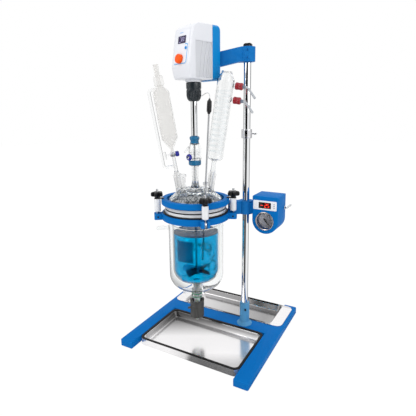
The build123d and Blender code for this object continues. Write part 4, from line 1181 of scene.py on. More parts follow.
class REACTOR_OT_motor(bpy.types.Operator):
    """White motor shell with its louvred sides and blue rear cover"""

    bl_idname = "reactor.motor"
    bl_label = "Motor"

    def execute(self, context):
        self.shell()
        self.cover()
        return {"FINISHED"}

    def shell(self):
        """The white shell with its sunk side panels, ribbed collar and small mark."""
        profile = rounded(
            (-45, 880, 9), (-54, 918, 10), (-35, 1026, 12), (-16, 1042, 22), (42, 1042), (42, 880), steps=8
        )
        middle = Vector((0, 960))
        rear = 41.9
        half = ((36, 0), (38.5, 0.2), (40.8, 1.4), (42.1, 3.4), (42.5, 6.0))
        rings = []
        for side, inset in [(-side, inset) for side, inset in reversed(half)] + list(half):
            ring = []
            for p in profile:
                x, z = p
                if x > rear:
                    z += (middle.y - z) / abs(middle.y - z) * inset * 0.6
                else:
                    toward = (middle - p).normalized()
                    x += toward.x * inset
                    z += toward.y * inset
                ring.append(Vector((x, side, z)))
            rings.append(ring)
        body = Shape().loft(rings, MOTOR)
        pocket = Shape().bar(4.6, -3.3, 6, PANEL @ at(0, -22, -4) @ OUTWARD, edge=0)
        body.cut(pocket)
        # Both sunk panels are cut before the slats go in, because a later cut drops what stands in them
        for low, high in ((-45.0, -40.4), (40.4, 45.0)):
            body.cut(Shape().box((-27, low, 885), (41.2, high, 990), MOTOR, edge=0))
        for side in (-1, 1):
            self.louvres(body, side)
        ring = rounded((8, 873), (24.6, 873, 0.8), (26, 875.5, 1), (26, 882), (8, 882), steps=3)
        body.lathe(ring, MOTOR, 192, wave=flutes(count=28, depth=1.6, radius=20, low=0, high=880))
        nub = MOTOR @ at(-8, 0, 1041)
        body.bar(3, 0, 2.4, nub, edge=0.8, mat=1)
        body.finish(
            "motor_shell", "root", ["white_shell", "satin_steel", "slat_grey_painted_shade"], ["motor_housing"],
            "white_plastic", sharp=28
        )

    def louvres(self, body, side):
        """Overlapping slats that fan up and back in the sunk side panel."""
        front, rear, low, high = -26.6, 40.8, 885.4, 989.6
        feet = (front, front + 17, front + 31, front + 43, front + 53)
        leans = (0.0, 13.0, 18.0, 19.0, 14.5)
        for index, (foot, lean) in enumerate(zip(feet, leans)):
            last = index == len(feet) - 1
            end = rear if last else feet[index + 1] - 0.8
            head = rear if last else feet[index + 1] + leans[index + 1] - 0.8
            shares = [step / 10 for step in range(11)]
            spine = [(foot + lean * share**1.6, low + (high - low) * share) for share in shares]
            edge = [(end + (head - end) * share**1.6, low + (high - low) * share) for share in shares]
            rings = []
            for proud_front, proud_back in ((40.2, 40.2), (42.3, 40.5)):
                ring = [Vector((x, side * proud_front, z)) for x, z in spine]
                rings.append(ring + [Vector((x, side * proud_back, z)) for x, z in reversed(edge)])
            # The slats take the grey finish: painted shade in the sunk panel
            body.loft(rings, MOTOR, mat=2)
            body.tube([(x + 0.5, side * 42.0, z) for x, z in spine], 0.45, MOTOR, sides=6)

    def cover(self):
        """The blue cover, from outlines with their insets and corners, and its short side ribs."""
        width, height, middle = 87, 165.5, 960.75
        back = (
            (42.2, 0, 13), (44, 0, 12.96), (46, 0, 13), (68, 0, 13), (72, 0.7, 13.14), (75.5, 2.3, 13.46),
            (78.6, 5, 14), (80.8, 8.6, 14.72), (81.8, 12, 15.4), (82, 14.5, 15.9),
        )
        rings = []
        for x, inset, corner in back:
            outline = rounded_rect(width - 2 * inset, height - 2 * inset, corner)
            rings.append([Vector((x, p.x, middle + p.y)) for p in outline])
        cover = Shape().loft(rings, MOTOR)
        for side in (-1, 1):
            for step in range(5):
                z = 905 + step * 7
                cover.box((52, side * 43.5 - 0.5, z), (70, side * 43.5 + 0.35, z + 2.4), MOTOR, edge=0.3)
        cover.finish("motor_cover", "root", ["cover_plastic"], ["motor_rear_cover"], "blue_plastic")


class REACTOR_OT_panel(bpy.types.Operator):
    """Motor panel with its display, outline, speed knob and power button"""

    bl_idname = "reactor.panel"
    bl_label = "Motor panel"

    def execute(self, context):
        face = PANEL @ OUTWARD
        button_place, knob_place = at(-4, -22), at(-35, 0)
        plate = Shape().prism(rounded_rect(100, 66, 6), 0, 1.5, face, edge=0.5)
        for where, hole in ((face @ button_place, 4.6), (face @ knob_place, 3.05)):
            plate.cut(Shape().bar(hole, -2, 5, where, edge=0, steps=24))
        plate.prism(shifted(rounded_rect(22, 36, 2), 22, 0), 1.5, 2.7, face, edge=0.4, mat=1)
        speed = "%03d" % context.scene.reactor_sizes.speed_value
        show_digits(plate, speed, 9.5, face @ at(22, -2, 2.7) @ turn(z=-90), 2, 0.2)
        for row, length in ((15.2, 11), (28.6, 8)):
            plate.box((row - 0.5, 3, 2.7), (row + 0.5, 3 + length, 2.85), face, edge=0.1, steps=1, mat=2)
        line = [(8, -17, 0), (8, -29.5, 0), (-48.4, -29.5, 0), (-48.4, 26, 0)]
        plate.tube(bent(line, 7), 1.25, face @ at(0, 0, 1.2), sides=8, mat=3)
        plate.box((42, -2, 1.5), (43.6, 14, 1.75), face, edge=0.1, steps=1, mat=3)
        plate.finish(
            "control_panel", "root", ["panel_foil", "dark_display", "pale_digits", "panel_line"],
            ["motor_panel"],
            "panel_plastic",
        )
        out = face @ at(-35, 0, 1.5)
        skirt = rounded(
            (0, -2.7), (3, -2.7), (3, 0.3), (14, 0.3, 0.6), (13.6, 9.8, 1.6), (10.4, 12, 1.2), (0, 11.2),
            steps=4
        )
        grooves = flutes(count=24, depth=0.35, radius=12, low=0.8, high=10.5)
        knob = Shape().lathe(skirt, out, 72, wave=grooves)
        knob.box((5.6, -0.7, 11.1), (11.4, 0.7, 11.9), out @ turn(z=150), edge=0.2)
        knob.finish("orange_knob", "speed_knob", ["orange_knob"], ["speed_knob"], "orange_plastic")
        button = rounded((0, -1.5), (4.5, -1.5), (4.5, 3.5, 0.8), (0, 3.2), steps=4)
        Shape().lathe(button, face @ button_place, 40).finish(
            "blue_button", "power_button", ["blue_button"], ["power_button"], "blue_plastic"
        )
        return {"FINISHED"}


class REACTOR_OT_stirrer(bpy.types.Operator):
    """Chuck, shaft and impeller, which turn together"""

    bl_idname = "reactor.stirrer"
    bl_label = "Chuck and stirrer"

    def execute(self, context):
        ring = rounded(
            (11.2, 850), (22.4, 850), (22.4, 852.5, 0.4), (24, 854, 1), (24, 871, 1.5), (21, 872.5, 0.4),
            (7, 872.5),
            (7, 890), (0, 890), (0, 866), (11.2, 866), steps=3,
        )
        Shape().lathe(ring, HEAD, 96).finish(
            "chuck_ring", "stirrer", ["chuck_black"], ["chuck_body"], "black_plastic"
        )
        sleeve = rounded(
            (11.3, 815.5), (14, 815, 0.5), (17, 817, 1), (21.5, 824, 4), (23.4, 833, 3), (23.4, 849.6, 0.6),
            (11.3, 849.6),
            steps=4,
        )
        # Deep flutes that run out towards the nose
        grip = flutes(count=16, depth=2.4, radius=14, low=819, high=847, fade=(5.0, 3.0))
        Shape().lathe(divided(sleeve, 2.5), HEAD, 180, wave=grip).finish(
            "chuck_grip", "stirrer", ["chuck_black"], ["chuck_sleeve"], "black_plastic", sharp=50
        )
        shaft = rounded(
            (0, 238), (4, 238, 0.5), (4, 706.5), (10, 706.5, 0.4), (11, 708, 0.6), (11, 864, 0.5), (0, 864),
            steps=3
        )
        Shape().lathe(shaft, HEAD, 56).finish(
            "drive_shaft", "stirrer", ["drawn_steel"], ["stirrer_shaft"], "polished_steel"
        )
        self.impeller()
        return {"FINISHED"}

    def impeller(self):
        """A hub with four leaning blades."""
        hub = Shape().pipe(11, 4.02, 238, 262, HEAD, edge=1.5)
        for index in range(4):
            blade = HEAD @ turn(z=45 + 90 * index) @ at(8, 0, 250) @ turn(x=35)
            outline = rounded((0, -11), (40, -13, 5), (42, 13, 8), (0, 11), steps=5)
            hub.loft([[Vector((p.x, side, p.y)) for p in outline] for side in (-1.3, 1.3)], blade)
        hub.finish("pitched_impeller", "stirrer", ["blade_steel"], ["impeller"], "steel")


class REACTOR_OT_seal(bpy.types.Operator):
    """Stirrer seal with its blue caps, clear body, side port and nut"""

    bl_idname = "reactor.seal"
    bl_label = "Stirrer seal"

    def execute(self, context):
        cap = rounded(
            (4.1, 683.1), (14.5, 683.1, 0.8), (13.2, 691, 3), (16, 697, 1), (16, 703, 1), (12.5, 706, 1),
            (4.1, 706), steps=3
        )
        foot = rounded(
            (5.2, 612), (18, 612, 1), (20.5, 615, 1.2), (20.5, 626, 1.2), (19, 629, 0.6), (5.2, 629), steps=3
        )
        caps = Shape().lathe(cap, HEAD, 48, wave=self.flats).lathe(foot, HEAD, 72)
        caps.finish("seal_blue_caps", "root", ["seal_blue"], ["seal_caps"], "seal_blue")
        body = rounded(
            (6, 629.1), (20.5, 629.1, 1), (21.3, 633, 1), (20.2, 640, 3), (21.4, 668, 6), (17, 680, 4),
            (15, 682.9, 0.6),
            (6, 682.9), (6, 679.4), (13, 679.2, 2), (17.6, 667, 5), (16.8, 640, 3), (17.4, 633, 1), (6, 633),
            steps=4,
        )
        shell = Shape().lathe(body, HEAD, 64)
        port = HEAD @ turn(z=-140) @ at(0, 0, 640) @ turn(y=90)
        shell.pipe(5, 2.5, 19, 33.5, port, edge=0.5, steps=32)
        barb = HEAD @ turn(z=-160)
        path = bent([(17, 0, 668), (25, 0, 671), (30, 0, 662), (37, 0, 655)], 8)
        shell.tube(path, 3.2, barb, sides=14)
        shell.pipe(15.2, 14.2, 634, 637, HEAD, edge=0.3)
        for low in (645, 652):
            shell.pipe(16.2, 12.6, low, low + 3.5, HEAD, edge=0.5)
        shell.finish("seal_glass", "root", ["clear_glass"], ["seal_body"], "clear_glass")
        nut = rounded(
            (5.1, 23), (9.2, 23, 0.8), (10.5, 25, 1), (10.5, 29.5, 1.4), (8.2, 32, 1), (5.1, 32), steps=4
        )
        ribs = flutes(count=18, depth=0.45, radius=9, low=24, high=30)
        Shape().lathe(nut, port, 72, wave=ribs).finish(
            "port_nut", "seal_port_nut", ["nut_violet"], ["seal_port_nut"], "nut_violet"
        )
        return {"FINISHED"}

    def flats(self, angle, radius, height):
        """A slightly six-sided cap."""
        return radius - (0.7 * (0.5 - 0.5 * cos(angle * 6)) if radius > 12 else 0)


class REACTOR_OT_rings(bpy.types.Operator):
    """Clamp rings and gaskets"""

    bl_idname = "reactor.rings"
    bl_label = "Clamp rings"

    def execute(self, context):
        low, high = 436, 457
        lower = rounded(
            (RING_INSIDE, low, 1), (RING_OUTSIDE, low, 1.6), (RING_OUTSIDE, high, 1.6),
            (RING_INSIDE, high, 1), steps=3
        )
        ring = Shape().lathe(lower, HEAD, 160)
        for angle in CLAMPS.values():
            lug = Shape().prism(
                rounded((107, -14), (138, -14, 6), (138, 14, 6), (107, 14), steps=5), low + 0.3, high - 0.3,
                HEAD @ turn(z=angle), edge=0,
            )
            ring.join(lug)
        for angle in CLAMPS.values():
            where = HEAD @ turn(z=angle)
            ring.cut(Shape().box((114.5, -5, 430), (145, 5, 462), where, edge=0))
            ring.cut(
                Shape().bar(
                    3.0, -20, 20, where @ at(PIN_CIRCLE, 0, PIN_HEIGHT) @ turn(x=90), edge=0, steps=24
                )
            )
        ring.finish("lower_clamp_ring", "root", ["frame_paint"], ["lower_ring"], "blue_paint")
        low, high = 487, 505
        upper = rounded(
            (RING_INSIDE, low, 1), (RING_OUTSIDE, low, 2), (RING_OUTSIDE, high, 2.2),
            (RING_INSIDE, high, 1.5), steps=3
        )
        Shape().lathe(upper, HEAD, 160).finish(
            "upper_clamp_ring", "root", ["frame_paint"], ["upper_ring"], "blue_paint"
        )
        pads = Shape()
        for outer, inner, low, high in (
            (108.5, 95.5, 457, 460), (103, 95.5, 484, 487), (102.4, 86, 470.5, 473.5)
        ):
            edge = rounded((inner, low), (outer, low, 1.4), (outer, high, 1.4), (inner, high), steps=4)
            pads.lathe(edge, HEAD, 128)
        pads.finish("ring_gaskets", "root", ["gasket_rubber"], ["flange_gaskets"], "rubber_black")
        return {"FINISHED"}


class REACTOR_OT_clamps(bpy.types.Operator):
    """Swing bolts with sleeves and pressing fingers, and the star knobs"""

    bl_idname = "reactor.clamps"
    bl_label = "Swing clamps"

    def execute(self, context):
        for name, angle in CLAMPS.items():
            place = HEAD @ turn(z=angle) @ at(PIN_CIRCLE, 0, 0)
            self.bolt(name, place)
            self.star(name, place)
        return {"FINISHED"}

    def bolt(self, name, place):
        """A bolt with its eye, sleeve, collar and pressing finger."""
        bolt = Shape()
        eye = place @ at(0, 0, PIN_HEIGHT) @ turn(x=90)
        bolt.pipe(8, 3.05, -4.5, 4.5, eye, edge=1.2, steps=36)
        bolt.bar(4, 452, 538, place, edge=0.8)
        sleeve = rounded(
            (4.1, 463), (9, 463, 0.8), (10.5, 465, 0.8), (10.5, 503, 0.8), (9, 505.1, 0.6), (4.1, 505.1),
            steps=3
        )
        bolt.lathe(sleeve, place, 40, mat=1)
        bolt.pipe(4.9, 4.1, 459.5, 463, place)
        finger = rounded(
            (-22, -5.5, 3), (0, -7.5), (10, -7.5, 5), (10, 7.5, 5), (0, 7.5), (-22, 5.5, 3), steps=4
        )
        bolt.prism(finger, 505.3, 508, place, edge=0.7, mat=2)
        bolt.finish(
            "swing_bolt_" + name, "clamp_" + name, ["fitting_steel", "white_sleeve", "star_black"],
            ["clamp_bolt_" + name], "steel",
        )

    def star(self, name, place):
        """A five-lobed knob on a hub."""
        top, bottom, around, lobes = 528.2, 508.2, 120, 5
        swell = (
            (513.2, 0.86), (514.4, 0.95), (516.5, 1.0), (522.5, 1.0), (525.6, 0.95), (527.4, 0.84),
            (top, 0.66)
        )
        rings = []
        for height, grow in swell:
            ring = []
            for step in range(around):
                angle = 2 * pi * step / around
                lobe = 0.5 + 0.5 * cos(angle * lobes)
                radius = (12.4 + 8.4 * lobe**0.8) * grow
                ring.append(Vector((radius * cos(angle), radius * sin(angle), height)))
            rings.append(ring)
        knob = Shape().loft(rings, place)
        hub = rounded(
            (4.1, bottom), (8, bottom, 0.6), (9, bottom + 3, 1), (10.5, 514.5), (4.1, 514.5), steps=3
        )
        knob.lathe(hub, place, 40)
        knob.pipe(6.8, 4.1, 527.6, top + 0.8, place, edge=0.4)
        knob.finish(
            "star_knob_" + name + "_grip", "star_knob_" + name, ["star_black"], ["star_knob_" + name],
            "black_plastic", sharp=45
        )


class REACTOR_OT_vessel(bpy.types.Operator):
    """Glass vessel, jacket and the liquid"""

    bl_idname = "reactor.vessel"
    bl_label = "Vessel, jacket and liquid"

    def execute(self, context):
        vessel = rounded(
            (11, 128, 0.8), (17, 128, 1.2), (17, 203), (17, 215, 6), (80, 215, 42), (80, 444), (84, 454, 4),
            (86, 459.6),
            (FLANGE_RADIUS, 460.1, 2.5), (FLANGE_RADIUS, 470.4, 2.5), (78, 470.4, 2), (76, 462),
            (76, 219, 38), (11, 219, 4), steps=10,
        )
        low_port = HEAD @ turn(z=195) @ at(0, 0, 173) @ turn(y=90)
        glass = Shape().lathe(vessel, HEAD, 128)
        glass.pipe(4.5, 2.5, 15.5, 50, low_port, edge=0.6, steps=24)
        glass.pipe(5.4, 4.2, 45, 48, low_port, edge=0.5, steps=24)
        glass.paint(lambda p: p.z > 458 and Vector(p.xy).length > 84, 1, HEAD)
        glass.finish(
            "inner_vessel", "root", ["thin_glass", "flange_glass"], ["vessel_glass"], "clear_glass", sharp=50
        )
        jacket = rounded(
            (17.15, 188), (92.5, 188, 50), (92.5, 418, 10), (80.2, 418), (80.2, 415), (89.5, 415, 7),
            (89.5, 191, 47),
            (17.15, 191), steps=10,
        )
        shell = Shape().lathe(jacket, HEAD, 128)
        port = HEAD @ turn(z=180) @ at(0, 0, 404) @ turn(y=90)
        nozzle = rounded(
            (3.5, 90), (7.5, 90), (7.5, 96, 1), (6, 97, 1), (6, 104), (7.4, 108, 1), (7.4, 129, 1),
            (6.2, 132.5, 1),
            (3.5, 132.5), steps=3,
        )
        shell.lathe(nozzle, port, 32)
        shell.finish("outer_jacket", "root", ["thin_glass"], ["jacket_glass"], "clear_glass", sharp=50)
        self.liquid(context.scene.reactor_sizes.liquid_level / MM)
        return {"FINISHED"}

    def liquid(self, level):
        """The liquid, a little inside the vessel's wall."""
        body = rounded(
            (0, 215.4), (10.85, 215.4), (11.2, 219.1), (75.85, 219.15, 38), (75.85, level + 1.2),
            (74.2, level, 0.8), (0, level),
            steps=10,
        )
        pool = Shape().lathe(body, HEAD, 128)
        # The top face takes the darker finish: painted shade
        pool.paint(lambda p: p.z > level - 0.6, 1, HEAD)
        pool.finish("blue_liquid", "root", ["blue_liquid", "liquid_top_painted_shade"], (), "clear_glass", sharp=50)


class REACTOR_OT_drain(bpy.types.Operator):
    """Bottom drain: seal ring, collar, turning grip, spindle and tip"""

    bl_idname = "reactor.drain"
    bl_label = "Drain"

    def execute(self, context):
        bands = Shape()
        for low, high in ((150, 153), (161, 164)):
            bands.pipe(19.2, 17.1, low, high, HEAD, edge=0.9, steps=64)
        bands.finish("green_bands", "root", ["seal_green"], ["drain_seal_ring"], "green_seal")
        collar = rounded(
            (12, 115), (24.5, 115, 0.8), (24.5, 133, 1.5), (22, 134, 0.5), (17.1, 134), (17.1, 128.1),
            (12, 128.1), steps=3
        )
        part = Shape().lathe(collar, HEAD, 72)
        for side in (-1, 1):
            ear = [
                (side * 19.5, 132), (side * 25, 132, 1), (side * 24.6, 138), (side * 21, 141, 1),
                (side * 19, 138)
            ]
            rings = [[Vector((p[0], y, p[1])) for p in ear] for y in (-5.5, 5.5)]
            part.loft(rings, HEAD)
        part.finish("drain_collar_ring", "root", ["drain_grey"], ["drain_collar"], "grey_plastic")
        grip = rounded(
            (11.1, 72.3), (22.5, 72, 1.2), (24, 75, 1.5), (24, 112.5, 1.5), (22.5, 114.7, 0.6), (11.1, 114.7),
            steps=3
        )
        grooves = flutes(count=16, depth=1.3, radius=22, low=77, high=110, fade=(3.0, 3.0), power=2)
        handle = Shape().lathe(divided(grip, 3.0), HEAD, 160, wave=grooves)
        handle.prism(
            rounded((21, -3.5), (34, -2.6, 2.4), (34, 2.6, 2.4), (21, 3.5), steps=4), 104.7, 111.7,
            HEAD @ turn(z=190),
            edge=1.2,
        )
        handle.finish(
            "drain_turning_grip", "drain_grip", ["drain_grey"], ["drain_grip"], "grey_plastic", sharp=50
        )
        spindle = rounded((4, 92), (10.9, 92), (10.9, 210, 0.5), (7, 215, 2), (4, 215), steps=3)
        Shape().lathe(spindle, HEAD, 48).finish(
            "drain_needle", "drain_spindle", ["white_ptfe"], ["drain_spindle"], "white_ptfe"
        )
        tip = rounded((5, 62, 0.6), (8.5, 62, 1.5), (11, 68, 1.5), (11, 92), (5, 92), steps=4)
        Shape().lathe(tip, HEAD, 48).finish(
            "outlet_nose", "drain_spindle", ["white_ptfe"], ["outlet_tip"], "white_ptfe"
        )
        return {"FINISHED"}


NECKS = (
    (FUNNEL, 13.0, 10.0, 25.0),
    (CONDENSER, 13.0, 10.0, 27.0),
    (PROBE, 8.0, 3.3, 12.0),
    (HEAD @ at(-38, 45, 575), 12.0, 9.0, 0.0),
)


class REACTOR_OT_lid(bpy.types.Operator):
    """Domed glass lid with its five necks"""

    bl_idname = "reactor.lid"
    bl_label = "Lid"

    def execute(self, context):
        outside = rounded(
            (0, LID_UNDERSIDE), (FLANGE_RADIUS, LID_UNDERSIDE, 2.5), (FLANGE_RADIUS, FLANGE_TOP, 2.5),
            (91, 484.2, 1), (91, 500, 18), (50, 534, 30), (15, 538, 3),
            (12.5, 551, 3), (10.5, 560, 3), (10.5, 572, 2), (11.4, 575, 1), (11.4, 606, 1), (12.4, 609, 1.5),
            (12.4, 612, 0.8),
            (0, 612), steps=8,
        )
        lid = Shape().lathe(outside, HEAD, 112)
        # The wall under the dome is thick and uneven, so it bends the light as blown glass does
        under = rounded(
            (0, 470), (88, 470), (87, 486, 3), (81, 497, 8), (64, 508, 10), (47, 522, 9), (31, 521, 8),
            (22, 530, 5),
            (0, 531), steps=8,
        )
        for where, radius, bore, top in NECKS:
            neck = rounded(
                (0, -62), (radius, -62), (radius, top - 9), (radius + 1.6, top - 5, 1),
                (radius + 1.6, top - 1.5, 1), (radius, top, 0.6),
                (0, top), steps=3,
            )
            lid.join(Shape().lathe(neck, where, 48))
        for where, radius, bore, top in NECKS:
            lid.cut(Shape().bar(bore, -90, top + 3, where, edge=0, steps=48))
        lid.cut(Shape().lathe(under, HEAD, 96))
        lid.cut(Shape().bar(6, 465, 620, HEAD, edge=0, steps=40))
        lid.cut(Shape().bar(140, 400, LID_UNDERSIDE, HEAD, edge=0, steps=40))
        lid.paint(lambda p: p.z < FLANGE_TOP + 0.2 and Vector(p.xy).length > 90, 1, HEAD)
        lid.paint(lambda p: FLANGE_TOP + 0.3 < p.z < 537, 3, HEAD)
        lid.paint(lambda p: 574 < p.z < 607 and Vector(p.xy).length > 6.5, 2, HEAD)
        for where, radius, bore, top in NECKS:
            lid.paint(lambda p: top - 38 < p.z < top - 6 and Vector(p.xy).length < radius + 0.2, 2, where)
        lid.finish(
            "domed_lid", "root", ["clear_glass", "flange_glass", "ground_glass", "dome_glass"], ["lid_glass"],
            "clear_glass", sharp=50,
        )
        return {"FINISHED"}


class REACTOR_OT_funnel(bpy.types.Operator):
    """Addition funnel with its side tube and stopcock"""

    bl_idname = "reactor.funnel"
    bl_label = "Addition funnel"

    def execute(self, context):
        outer = rounded(
            (0, -22), (8.6, -22, 0.8), (9.7, 29, 2), (6.5, 35, 3), (6, 108, 4), (26, 142, 12), (26, 286, 14),
            (10.5, 303, 6),
            (12, 305.5, 1), (15.5, 310, 2), (15.5, 331, 2), (14, 335, 1), (8.5, 337, 1), (8.5, 370, 1),
            (0, 370), steps=8,
        )
        inner = rounded(
            (0, -30), (3, -30), (3, 112, 3), (23.5, 144, 10), (23.5, 285, 12), (8, 303, 4), (6, 312),
            (6, 380), (0, 380),
            steps=8,
        )
        glass = Shape().lathe(outer, FUNNEL, 72)
        route = [(-14, 0, 298), (-36, 0, 298), (-36, 0, 52), (-2, 0, 52)]
        inside = [(-16, 0, 298), (-36, 0, 298), (-36, 0, 52), (-1, 0, 52)]
        glass.join(Shape().tube(bent(route, 10), 4.8, FUNNEL, sides=20))
        barrel = FUNNEL @ at(0, 0, 90) @ turn(y=90)
        glass.join(Shape().bar(9, -8, 8, barrel, edge=1.2, steps=40))
        glass.cut(Shape().tube(bent(inside, 10), 3.2, FUNNEL, sides=16))
        glass.cut(Shape().lathe(inner, FUNNEL, 60))
        glass.cut(Shape().bar(5.05, -12, 12, barrel, edge=0, steps=36))
        glass.paint(lambda p: p.z > 100 and Vector(p.xy).length < 27, 2, FUNNEL)
        glass.paint(lambda p: -18 < p.z < 22 and 8 < Vector(p.xy).length < 11, 1, FUNNEL)
        glass.finish(
            "funnel_body", "root", ["clear_glass", "ground_glass", "milky_glass"], ["funnel_glass"],
            "clear_glass", sharp=50
        )
        plug = Shape().bar(5, -10, 20, barrel, edge=0.8)
        plug.cut(Shape().bar(2.2, -15, 15, barrel @ turn(y=90), edge=0, steps=20))
        plug.bar(3.4, -24, -9, barrel, edge=0.6, mat=1)
        plug.bar(3.6, -13, 13, barrel @ at(0, 0, -25) @ turn(y=90), edge=1.6, mat=1)
        nut = rounded((5.1, 8.4), (8, 8.4, 0.8), (9, 10.5, 1), (9, 17, 1.4), (7, 20, 1), (5.1, 20), steps=4)
        ribs = flutes(count=16, depth=0.4, radius=8.3, low=10, high=18)
        plug.lathe(nut, barrel, 64, wave=ribs, mat=2)
        plug.finish(
            "stopcock_plug", "funnel_stopcock", ["white_ptfe", "clear_glass", "nut_violet"],
            ["funnel_stopcock"], "nut_violet"
        )
        return {"FINISHED"}


class REACTOR_OT_condenser(bpy.types.Operator):
    """Coil condenser with its hose caps and bent hose barbs"""

    bl_idname = "reactor.condenser"
    bl_label = "Condenser"

    def execute(self, context):
        outer = rounded(
            (0, -22), (8.7, -22, 0.8), (9.7, 31, 2), (8.2, 37, 3), (8, 72, 6), (27, 73, 12), (27, 326, 14),
            (16.4, 345, 3),
            (17.5, 346.4, 0.8), (17.5, 350, 0.8), (0, 350), steps=8,
        )
        inner = rounded(
            (0, -30), (5.5, -30), (5.5, 74.5, 3), (24.5, 75.5, 10), (24.5, 321.5, 14), (13.6, 345, 2),
            (13.6, 360), (0, 360),
            steps=8,
        )
        glass = Shape().lathe(outer, CONDENSER, 72)
        aims = [CONDENSER @ at(0, 0, height) @ turn(z=-32) @ turn(y=90) for height in (310, 267)]
        for aim in aims:
            glass.join(Shape().bar(7, 22, 41, aim, edge=0.8, steps=32))
        glass.cut(Shape().lathe(inner, CONDENSER, 60))
        for aim in aims:
            glass.cut(Shape().bar(3.3, 18, 45, aim, edge=0, steps=24))
        glass.paint(lambda p: -18 < p.z < 24 and 8 < Vector(p.xy).length < 11, 1, CONDENSER)
        glass.finish(
            "condenser_body", "root", ["clear_glass", "ground_glass"], ["condenser_glass"], "clear_glass",
            sharp=50
        )
        coil = Shape().tube(helix(21.2, 92, 296, 12), 2.9, CONDENSER, sides=12)
        coil.finish("inner_coil", "root", ["coil_glass"], ["condenser_coil"], "clear_glass", sharp=60)
        barbs = Shape()
        for aim, name in zip(aims, ("upper", "lower")):
            self.cap(aim, name)
            hub = rounded((0, 41.1), (5.45, 41.1), (5.45, 63, 0.6), (4.4, 67, 1), (0, 67), steps=3)
            barbs.lathe(hub, aim, 36, mat=1)
            drop, reach = radians(40), 46
            knee, end = Vector((0, 0, 73)), Vector((reach * sin(drop), 0, 67 + reach * cos(drop)))
            barbs.tube(bent([(0, 0, 63), knee, end], 9), 3.5, aim, sides=16)
            axis = (end - knee).to_track_quat("Z", "X").to_matrix().to_4x4()
            for share in (0.55, 0.68, 0.81, 0.94):
                spot = Matrix.Translation(knee.lerp(end, share))
                barbs.bar(3.8, -1, 1, aim @ spot @ axis, edge=0.5, steps=24)
        barbs.finish("bent_hose_barbs", "root", ["hose_grey", "hub_grey"], ["hose_barbs"], "steel")
        return {"FINISHED"}

    def cap(self, aim, name):
        """A hose cap with grip ribs."""
        profile = rounded(
            (7.1, 35), (10.4, 35, 0.8), (11.2, 36.6, 0.8), (11.1, 41, 1), (10.3, 46, 5), (11.1, 52, 1),
            (11.1, 55, 1.2),
            (9.2, 58, 1.2), (5.6, 58), (5.6, 41.4), (7.1, 41.4), steps=4,
        )
        ribs = flutes(count=14, depth=0.8, radius=9.8, low=37, high=56, power=1.5)
        Shape().lathe(divided(profile, 2.5), aim, 144, wave=ribs).finish(
            "red_cap_" + name, "hose_cap_" + name, ["cap_red"], ["hose_cap_" + name], "cap_red", sharp=50
        )


class REACTOR_OT_probe(bpy.types.Operator):
    """Temperature probe with its handle and strain relief"""

    bl_idname = "reactor.probe"
    bl_label = "Temperature probe"

    def execute(self, context):
        rod = rounded((0, -250), (3, -250, 2.4), (3, 226), (0, 226), steps=4)
        Shape().lathe(rod, PROBE, 32).finish("probe_stem", "root", ["satin_steel"], ["probe_rod"], "steel")
        handle = rounded(
            (0, 226), (4.2, 226, 0.8), (4.8, 230, 1), (7.4, 233, 1.4), (7.6, 250, 20), (7.2, 264, 4),
            (4.4, 268, 2), (3.6, 268.6, 0.4),
            (3.2, 270, 0.4), (2.9, 270.4, 0.3), (2.7, 271.8, 0.3), (2.2, 272.2, 0.3), (1.9, 273, 0.3),
            (0, 273), steps=4,
        )
        grip = Shape().lathe(handle, PROBE, 48)
        for z in (236, 239.5, 243):
            grip.pipe(7.75, 6.8, z, z + 1.6, PROBE, edge=0.3, steps=40)
        held = grip.finish("probe_grip", "root", ["probe_black"], ["probe_handle"], "black_plastic")
        self.lead(held)
        return {"FINISHED"}

    def lead(self, held):
        """The thin lead from the handle round behind the chuck and up into the motor."""
        route = [HEAD @ Vector(point) for point in LEAD]
        route = [PROBE @ Vector((0, 0, 273)), PROBE @ Vector((0, 0, 283.5))] + route
        curve = bpy.data.curves.new("probe_cable", "CURVE")
        curve.dimensions = "3D"
        curve.bevel_depth = 1.0 * MM
        curve.bevel_resolution = 5
        curve.resolution_u = 16
        curve.use_fill_caps = True
        spline = curve.splines.new("NURBS")
        spline.points.add(len(route) - 1)
        for place, point in zip(spline.points, route):
            place.co = (*point * MM, 1)
        spline.order_u = 3
        spline.use_endpoint_u = True
        curve.materials.append(finish_named("lead_white"))
        made = link("probe_cable", curve)
        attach(made, "root")
        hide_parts("probe_lead")


